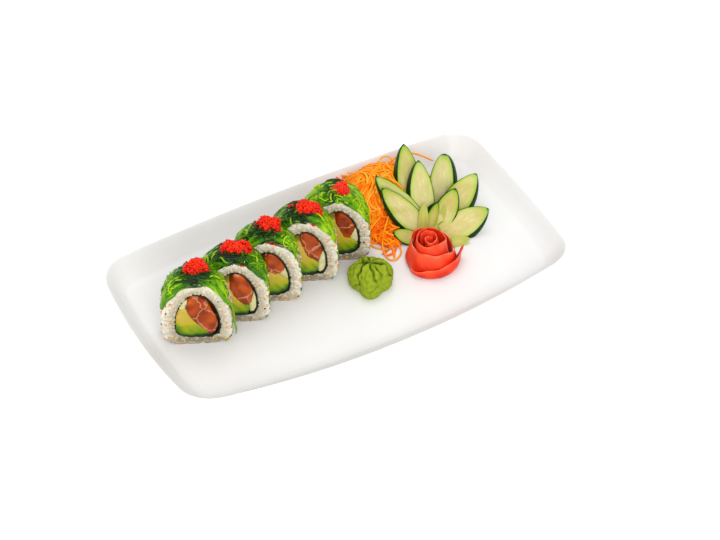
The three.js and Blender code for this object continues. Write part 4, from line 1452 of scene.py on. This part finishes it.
@dataclass
class Flower:
    """The cucumber flower: ten petals round three narrow ones.

    Attributes:
        petals: The petals, those at the heart first.
    """

    petals: tuple[Petal, ...] = (
        Petal("cucumber_heart_left", (66, 6, 9), (72, 14, 27), 7, thickness=3.2, bend=1, peeled=True),
        Petal("cucumber_heart_middle", (70.5, 5.5, 9), (79, 9, 28), 8, Lean.LEFT, thickness=3.2),
        Petal("cucumber_heart_right", (75, 3, 9), (84, 8, 24), 6, thickness=3.2, bend=1, peeled=True),
        Petal("cucumber_right_low", (77, -1, 9), (108, -6, 21), 19.5, Lean.RIGHT, facing=(-0.3, -0.62, 0.75)),
        Petal("cucumber_left_low", (68, 7, 8.5), (51.5, 33, 33), 16, Lean.LEFT),
        Petal("cucumber_right_inner", (78, 4, 12), (92, 9, 34), 15, Lean.NONE),
        Petal("cucumber_right_high", (82, 8, 12), (113, 18, 30), 19.5, Lean.RIGHT),
        Petal("cucumber_middle", (73, 14, 13), (80, 36, 42), 16.5, Lean.LEFT),
        Petal("cucumber_left_high", (69, 14, 12.5), (52, 42, 36), 14.5, Lean.LEFT),
        Petal("cucumber_back_right", (86, 20, 11), (100, 37, 38), 18, Lean.RIGHT, foot_share=0.3,
              fullness=0.45),
        Petal("cucumber_back_left", (73, 28, 11), (77, 50, 46.5), 17.5, Lean.LEFT, foot_share=0.3),
        Petal("cucumber_under_left", (62, 2.5, 7.8), (48, 12, 13), 11, facing=(-0.2, -0.4, 0.9)),
        Petal("cucumber_under_right", (79, -10, 7.6), (90, -13.5, 9.2), 7.6, facing=(-0.2, -0.4, 0.9),
              peeled=True, thickness=3.4),
    )

    def build(self, larder: Larder) -> None:
        """Makes the petals."""
        for petal in self.petals:
            petal.build(larder)


# Carrot nest
def over_wall(y: np.ndarray) -> np.ndarray:
    """Height over the floor that clears the plate's sloping back wall."""
    return 0.85 * np.clip(y - 62, 0, 14)


@dataclass(frozen=True)
class Mound:
    """A dome of heaped shreds on the plate.

    Attributes:
        x: Place of its middle along the plate.
        y: Place of its middle across the plate.
        reach_x: How far it reaches along the plate.
        reach_y: How far it reaches across the plate.
        height: Height of its top over the plate's floor.
    """

    x: float
    y: float
    reach_x: float
    reach_y: float
    height: float

    def height_at(self, x: np.ndarray, y: np.ndarray) -> np.ndarray:
        """Height of the dome over a point, as half an ellipsoid."""
        out = ((x - self.x) / self.reach_x) ** 2 + ((y - self.y) / self.reach_y) ** 2
        return self.height * np.sqrt(np.maximum(0, 1 - out))

    def core(self) -> Shape:
        """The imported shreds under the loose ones."""
        ways = directions(np.linspace(0.08, np.pi / 2, 12)[:, None], full_turn(48)[None])
        reach = np.array([self.reach_x, self.reach_y, self.height]) * 0.88
        swell = (1 + 0.05 * ripple(ways, 0.5, 3))[..., None]
        points = ways * reach * swell + np.array([self.x, self.y, REST])
        points[..., 2] = np.maximum(points[..., 2], REST + over_wall(points[..., 1]))
        return skin(points, tinted(0.15, *points.shape[:2]))


@dataclass
class Nest:
    """The nest of carrot: two mounds of thin curved shreds, and loose ones round them.

    Attributes:
        mounds: The high mound and the low one.
        bundles: Bundles of heaped shreds.
        each: Shreds in a bundle.
        points: Points along a shred.
        low_share: Share of the bundles that lie on the low mound.
        rose_room: Distance that shreds keep from the rose's axis.
        loops: Knots of the loose shreds, as places on the plate and heights over its floor.
    """

    mounds: tuple[Mound, Mound] = (Mound(60, 49, 27, 24, 21), Mound(48, 20, 13, 17, 6))
    bundles: int = 60
    each: int = 11
    points: int = 26
    low_share: float = 0.3
    rose_room: float = 20.5
    loops: tuple[tuple[tuple[float, float, float], ...], ...] = (
        ((50, 22, 12), (40, 12, 3), (36, 0, 0.5), (40, -5, 0.5), (47, 0, 0.6), (48, 10, 4)),
        ((46, 25, 11), (35, 22, 3), (33, 14, 0.5), (40, 6, 0.5), (50, 8, 3)),
        ((44, 50, 12), (38, 58, 7), (42, 68, 8), (50, 66, 12)),
        ((60, 50, 19), (66, 62, 21), (72, 62, 22), (74, 54, 20), (66, 46, 20)),
        ((52, 48, 16), (58, 60, 15), (61, 68, 15)),
        ((58, 58, 17), (50, 60, 18), (43, 64, 19)),
        ((70, 62, 14), (84, 66, 15), (92, 60, 17), (101, 52, 13)),
    )

    def surface(self, x: np.ndarray, y: np.ndarray) -> np.ndarray:
        """Height of the mounds over a point."""
        return np.max([mound.height_at(x, y) for mound in self.mounds], axis=0)

    def heaped(self, petals: tuple[Petal, ...]) -> Shape:
        """Curved shreds that lie on the mounds, each an arc of a circle draped over them.

        Args:
            petals: The petals that a shred must not cross.

        Returns:
            The shreds.
        """
        chance = np.random.default_rng(31)
        count = self.bundles * self.each
        low = chance.random(self.bundles) < self.low_share
        bases = np.array([(mound.x, mound.y, mound.reach_x, mound.reach_y) for mound in self.mounds])
        pick = bases[low.astype(int)]
        heading = spread(chance, 0, 2 * np.pi, self.bundles)
        out = np.sqrt(spread(chance, 0.05, 0.95, self.bundles))
        x = pick[:, 0] + pick[:, 2] * out * np.cos(heading)
        y = pick[:, 1] + pick[:, 3] * out * np.sin(heading)
        arcs = drawn(chance, self.bundles, (6, 18), (0, 2 * np.pi), (1.2, 3.2))
        bundle = np.concatenate([np.stack([x, y], -1), arcs], 1)
        jitter = chance.normal(size=(count, 5)) * np.array([2.6, 2.6, 1.6, 0.3, 0.3])
        x, y, radius, begin, sweep = (np.repeat(bundle, self.each, 0) + jitter).T[..., None]
        turn = begin + sweep * np.linspace(0, 1, self.points)[None]
        radius = radius * (1 + 0.25 * np.sin(turn * 1.7 + begin))
        x = x - (radius * np.cos(turn)).mean(1, keepdims=True) + radius * np.cos(turn)
        y = y - (radius * np.sin(turn)).mean(1, keepdims=True) + radius * np.sin(turn)
        layer = spread(chance, -1.6, 1.3, count, 1)
        height = self.surface(x, y) + layer + 0.8 * np.sin(turn * 2.6 + layer * 5)
        paths = np.stack([x, y, REST + np.maximum(0.35 + over_wall(y), height)], -1)
        keep = self.clear(paths, petals)
        # Higher shreds are painted lighter and lower ones darker: painted light on top of the nest and
        # painted shade low down.
        own = tinted(spread(chance, 0.15, 0.7, count) + 0.02 * height.mean(1), count)
        width = spread(chance, 1.15, 1.9, count)
        facing = np.array([0.2, 0.3, 1.0]) + spread(chance, -0.8, 0.8, count, 1, 3)
        return strands(paths[keep], facing[keep], width[keep], 0.75 * width[keep], own[keep])

    def clear(self, paths: np.ndarray, petals: tuple[Petal, ...]) -> np.ndarray:
        """Which shreds stay clear of the petals, of the rose, of the last slice and of the back wall."""
        crosses = np.zeros(len(paths), bool)
        for petal in petals:
            crosses |= petal.holds(paths, 0.8).any(1)
        offset = paths[..., :2] - np.array(ROSE_AT)
        crosses |= (np.linalg.norm(offset, axis=-1) < self.rose_room).any(1)
        at_slice = paths[..., 0] + 0.45 * (paths[..., 1] - 14) < 30
        in_wall = paths[..., 1] > 73
        return ~(crosses | at_slice.any(1) | in_wall.any(1))

    def loose(self) -> Shape:
        """The long shreds that curl out of the nest, smooth curves through given knots."""
        paths = []
        for loop in self.loops:
            knots = np.array(loop, float)
            slope = slopes(knots)
            place = np.linspace(0, len(knots) - 1, self.points)
            base = np.clip(np.floor(place).astype(int), 0, len(knots) - 2)
            share = (place - base)[:, None]
            paths.append(hermite(knots[base], knots[base + 1], slope[base], slope[base + 1], share))
        width = np.full(len(paths), 1.3)
        return strands(np.array(paths) + REST * UP, UP, width, 0.8 * width, tinted(0.75, len(paths)))

    def build(self, larder: Larder, petals: tuple[Petal, ...]) -> None:
        """Makes the nest's piece."""
        shape = joined(*[mound.core() for mound in self.mounds], self.heaped(petals), self.loose())
        add_piece(shape, "carrot_shreds", larder.carrot, "carrot", "carrot_nest")

# Ginger rose
@dataclass
class Sheet:
    """One curled slice of ginger on a cone round the rose's axis.

    Attributes:
        name: The solid that it stands for.
        turns: Where it begins and ends, in radians round the axis.
        radii: Its radii at the top, at both ends.
        tops: Heights of its upper edge, at both ends.
        cone: How much wider it is at the foot.
        low: Height of its lower edge.
        flare: How far its last end stands out.
        wave: Height of the waves of its upper edge.
    """

    name: str
    turns: tuple[float, float]
    radii: tuple[float, float]
    tops: tuple[float, float]
    cone: float
    low: float = 0.0
    flare: float = 0.0
    wave: float = 0.4

    def section(self) -> tuple[np.ndarray, np.ndarray]:
        """The sheet's section, from the outer foot over the upper edge to the inner foot.

        Returns:
            Levels from the foot (0) to the upper edge (1), and sides of the wall, 1 outside and -1 inside.
        """
        rows = 16
        level = np.sin(np.linspace(0, np.pi / 2, rows))
        return (np.concatenate([level, [1.0], level[::-1]])[None],
                np.concatenate([np.ones(rows), [0], -np.ones(rows)])[None])

    def shape(self, height: float) -> Shape:
        """The sheet: a thin section, rounded at its upper edge, carried round the cone.

        Args:
            height: The rose's height.

        Returns:
            The surface, tinted lighter towards its upper edge as painted light and darker in its folds as
            painted shade.
        """
        share = np.linspace(0, 1, 130)[:, None]
        turn = self.turns[0] + (self.turns[1] - self.turns[0]) * share
        top = self.tops[0] + (self.tops[1] - self.tops[0]) * share
        top = top + self.wave * np.sin(turn * 2.3 + self.cone * 9)
        top = top + 0.3 * np.sin(turn * 6.1 + self.cone * 20)
        level, wall = self.section()
        z = self.low + (top - self.low) * level
        radius = self.radii[0] + (self.radii[1] - self.radii[0]) * share
        out = radius * (1 + self.cone * np.maximum(0, 1 - z / height) ** 1.2)
        out = out + self.flare * share**4 * level**2
        out = out * (1 - 0.12 * np.clip(1 - z / 5, 0, 1) ** 2)
        flat = np.stack([out * np.cos(turn), out * np.sin(turn), z], -1)
        crinkle = 0.55 * ripple(flat, 12.0, int(self.cone * 100)) * np.clip(z / 6, 0.2, 1)
        body = 1.25 * (0.35 + 0.65 * np.sin(np.pi * np.clip(share, 0.03, 0.97)) ** 0.4)
        thin = body * (1 - 0.55 * level**4)
        out = out + crinkle + wall * thin / 2
        z = z + np.where(wall == 0, 0.25, 0)
        x, y = ROSE_AT
        points = np.stack([x + out * np.cos(turn), y + out * np.sin(turn), REST - GAP + 0.05 + z], -1)
        # Lighter towards the upper edge is painted light; the fold term darkens the folds as painted shade.
        fold = np.clip(ripple(np.stack([9 * turn + 0.5 * z, 0.25 * z], -1), 6.0, 12), -1, 0.4)
        return skin(points, tinted(0.2 + 0.55 * level**3 + 0.18 * fold, *points.shape[:2]))


@dataclass
class Rose:
    """The rose of pickled ginger: a spiral heart, a collar and three wraps round them.

    Attributes:
        height: Height above which the sheets no longer lean out.
        sheets: The sheets, from the heart outwards.
    """

    height: float = 22.0
    sheets: tuple[Sheet, ...] = (
        Sheet("ginger_heart", (0.4, 8.6), (1.9, 6.2), (19, 21), 0.2, low=3, wave=0.5),
        Sheet("ginger_collar", (1.4, 7.4), (8.6, 9.4), (21, 20), 0.3, wave=1.1),
        Sheet("ginger_left_wrap", (2.1, 5.9), (11.4, 12.6), (21, 12), 0.42, wave=1.0),
        Sheet("ginger_right_wrap", (3.4, 6.0), (13.9, 14.8), (5.5, 10.2), 0.34, flare=4.4, wave=0.8),
        Sheet("ginger_back_wrap", (-0.15, 1.95), (11.6, 11.6), (15, 18), 0.4),
    )

    def build(self, larder: Larder) -> None:
        """Makes the sheets."""
        for sheet in self.sheets:
            shape = sheet.shape(self.height)
            add_piece(shape, f"{sheet.name}_sheet", larder.ginger, "ginger", sheet.name)


# Wasabi
@dataclass
class Knob:
    """The knob of wasabi: pinched at its top, creased down its sides and pointed in front.

    Attributes:
        x: Place of its middle along the plate.
        y: Place of its middle across the plate.
        radius: Its radius before creases and cheeks are cut.
        height: Its height before creases are cut.
        creases: How many creases wander down from its top.
    """

    x: float = 15.4
    y: float = -16.2
    radius: float = 14.1
    height: float = 19.3
    creases: int = 8

    def creased(self, tilt: np.ndarray, turn: np.ndarray) -> np.ndarray:
        """Depth of the creases: each wanders down from the top and fades out.

        Args:
            tilt: Tilts from the top.
            turn: Turns about it.

        Returns:
            Depths from 0 to about 1 on the grid of both.
        """
        chance = np.random.default_rng(9)
        crease = np.zeros(np.broadcast(tilt, turn).shape)
        for k in range(self.creases):
            place = 2 * np.pi * (k + 0.6 * chance.random()) / self.creases
            wander = place + 0.22 * np.sin(tilt * 3 + k) + 0.1 * np.sin(tilt * 9 + 2 * k)
            apart = np.angle(np.exp(1j * (turn - wander)))
            strength, length = drawn(chance, 1, (0.6, 1.2), (0.7, 1.6))[0]
            deep = strength * np.clip(1.5 - tilt / length, 0, 1)
            crease += deep * np.exp(-((apart * np.maximum(0.25, np.sin(tilt)) / 0.06) ** 2))
        return crease

    def outline(self, turn: np.ndarray) -> np.ndarray:
        """How much farther out the knob reaches: a point in front, a corner at each side, flat cheeks."""
        front = np.angle(np.exp(1j * (turn + np.pi / 2 - ROW_FACING)))
        cheek = np.exp(-(((np.abs(front + 0.06) - 0.78) / 0.46) ** 2))
        corner = np.exp(-(((np.abs(front) - 1.8) / 0.35) ** 2))
        return 0.1 * np.exp(-((front / 0.32) ** 2)) + 0.05 * corner - 0.17 * cheek

    def shape(self) -> Shape:
        """The knob: a dome whose radius and height are cut by wandering creases.

        Returns:
            The surface, painted darker in its creases and pits as painted shade and lighter on its raised
            lumps as painted light.
        """
        tilt = np.linspace(0.05, np.pi * 0.64, 68)[:, None]
        turn = full_turn(184)[None]
        fold = 0.03 * np.cos(turn * 8 + 0.6) * np.sin(tilt) ** 2 + 0.02 * np.cos(turn * 3 - 1)
        crease = self.creased(tilt, turn)
        cut = np.clip(crease, 0, 1.3)
        out = self.radius * (1 + fold) * (1 + self.outline(turn)) * np.sin(tilt) * (1 - 0.1 * cut)
        high = self.height * (0.3 + 0.7 * np.cos(tilt)) * (1 + 0.04 * np.cos(turn * 4))
        high = high - 1.9 * cut * np.cos(tilt * 0.8)
        lift = np.maximum(high, -GAP + 0.04)
        points = np.stack([self.x + out * np.cos(turn), self.y + out * np.sin(turn), REST + lift], -1)
        rough = 0.3 * ripple(points, 4.0, 4) + 0.08 * ripple(points, 1.6, 5)
        outward = unit(points - np.array([self.x, self.y, REST + 4]))
        points = points + outward * np.where(lift > 0.6, rough, 0)[..., None]
        # Creases and pits are painted darker as painted shade, raised lumps lighter as painted light.
        return skin(points, tinted(0.6 - 0.6 * np.clip(crease, 0, 1) + 0.25 * rough, *points.shape[:2]))

    def build(self, larder: Larder) -> None:
        """Makes the knob's piece."""
        add_piece(self.shape(), "wasabi_knob", larder.wasabi, "wasabi", "wasabi")


# Studio
@dataclass
class Studio:
    """The white table, the soft lights and the camera of the photograph.

    Attributes:
        back: Direction from the plate to the camera.
        distance: How far the camera stands.
        aside: How far it is moved to its right.
        aloft: How far it is moved up in its own frame.
        focal: Focal length in pixels.
        frame_width: Width of the picture in pixels.
        sensor: Width of the camera's sensor.
        sky: Strength of the light from all round.
    """

    back: tuple[float, float, float] = (-0.3471, -0.6204, 0.7033)
    distance: float = 2050.0
    aside: float = 14.6
    aloft: float = 4.7
    focal: float = 3219.5
    frame_width: int = 720
    sensor: float = 36.0
    sky: float = 0.84

    def camera(self) -> None:
        """Places the camera at the photograph's viewpoint."""
        back = np.array(self.back)
        right = unit(np.cross(UP, back))
        up = np.cross(back, right)
        data = bpy.data.cameras.new("view")
        data.sensor_width = self.sensor
        data.lens = self.focal * self.sensor / self.frame_width
        data.clip_start, data.clip_end = 0.05, 20.0
        view = bpy.data.objects.new("view", data)
        at = back * self.distance + right * self.aside + up * self.aloft + FLOOR_TOP * UP
        view.location = Vector((at * MM).tolist())
        view.rotation_euler = Vector((-back).tolist()).to_track_quat("-Z", "Y").to_euler()
        bpy.context.scene.collection.objects.link(view)
        bpy.context.scene.camera = view

    def table(self) -> None:
        """A plain white table, wide enough to fill the view."""
        side = np.linspace(-2400, 2400, 5)
        grid = np.stack(np.meshgrid(side, side, [0.0], indexing="ij"), -1).reshape(-1, 3)
        index = np.arange(25).reshape(5, 5)
        faces = np.stack([index[:-1, :-1], index[1:, :-1], index[1:, 1:], index[:-1, 1:]], -1).reshape(-1, 4)
        mesh = Shape(grid, faces, np.zeros(grid.shape)).to_mesh("table")
        tree = Tree("white_table")
        tree.shader.inputs["Roughness"].default_value = 0.9
        tree.shader.inputs["Emission Color"].default_value = (1, 1, 1, 1)
        tree.shader.inputs["Emission Strength"].default_value = 0.45
        tree.colour(tree.ramp(tree.noise(3, 1), ((0.0, "f6f6f6"), (1.0, "f9f9f9"))))
        mesh.materials.append(tree.material)
        top = bpy.data.objects.new("table", mesh)
        bpy.context.scene.collection.objects.link(top)

    def light(self, name: str, at: tuple[float, float, float], size: float, power: float) -> None:
        """A square soft light that looks at the plate.

        Args:
            name: The light's name.
            at: Its place in metres.
            size: Its side in metres.
            power: Its power in watts.
        """
        data = bpy.data.lights.new(name, "AREA")
        data.shape = "SQUARE"
        data.size = size
        data.energy = power
        lamp = bpy.data.objects.new(name, data)
        lamp.location = Vector(at)
        lamp.rotation_euler = (-Vector(at)).to_track_quat("-Z", "Y").to_euler()
        bpy.context.scene.collection.objects.link(lamp)

    def build(self) -> None:
        """Makes the table, the lights, the sky and the camera."""
        self.table()
        self.light("key", (0.2, 0.5, 1.6), 0.8, 5.0)
        self.light("fill", (-0.5, -1.3, 1.1), 1.0, 18.0)
        world = bpy.data.worlds.new("sky")
        world.use_nodes = True
        world.node_tree.nodes["Background"].inputs["Color"].default_value = (1, 1, 1, 1)
        world.node_tree.nodes["Background"].inputs["Strength"].default_value = self.sky
        bpy.context.scene.world = world
        bpy.context.scene.view_settings.view_transform = "Standard"
        self.camera()


def corners(bounds: tuple) -> list[list[float]]:
    """A box as plain lists of numbers."""
    return [[float(value) for value in corner] for corner in bounds]


def main() -> None:
    """Dresses the platter piece by piece."""
    logging.basicConfig(level=logging.INFO, format="%(message)s")
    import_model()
    larder = Larder()
    Studio().build()
    Dish().build(larder)
    grain = ball(5, 8)
    egg = ball(3, 6)
    for piece in row_of_slices():
        piece.build(larder, grain, egg)
    flower = Flower()
    flower.build(larder)
    Nest().build(larder, flower.petals)
    Rose().build(larder)
    Knob().build(larder)


if __name__ == "__main__":
    main()
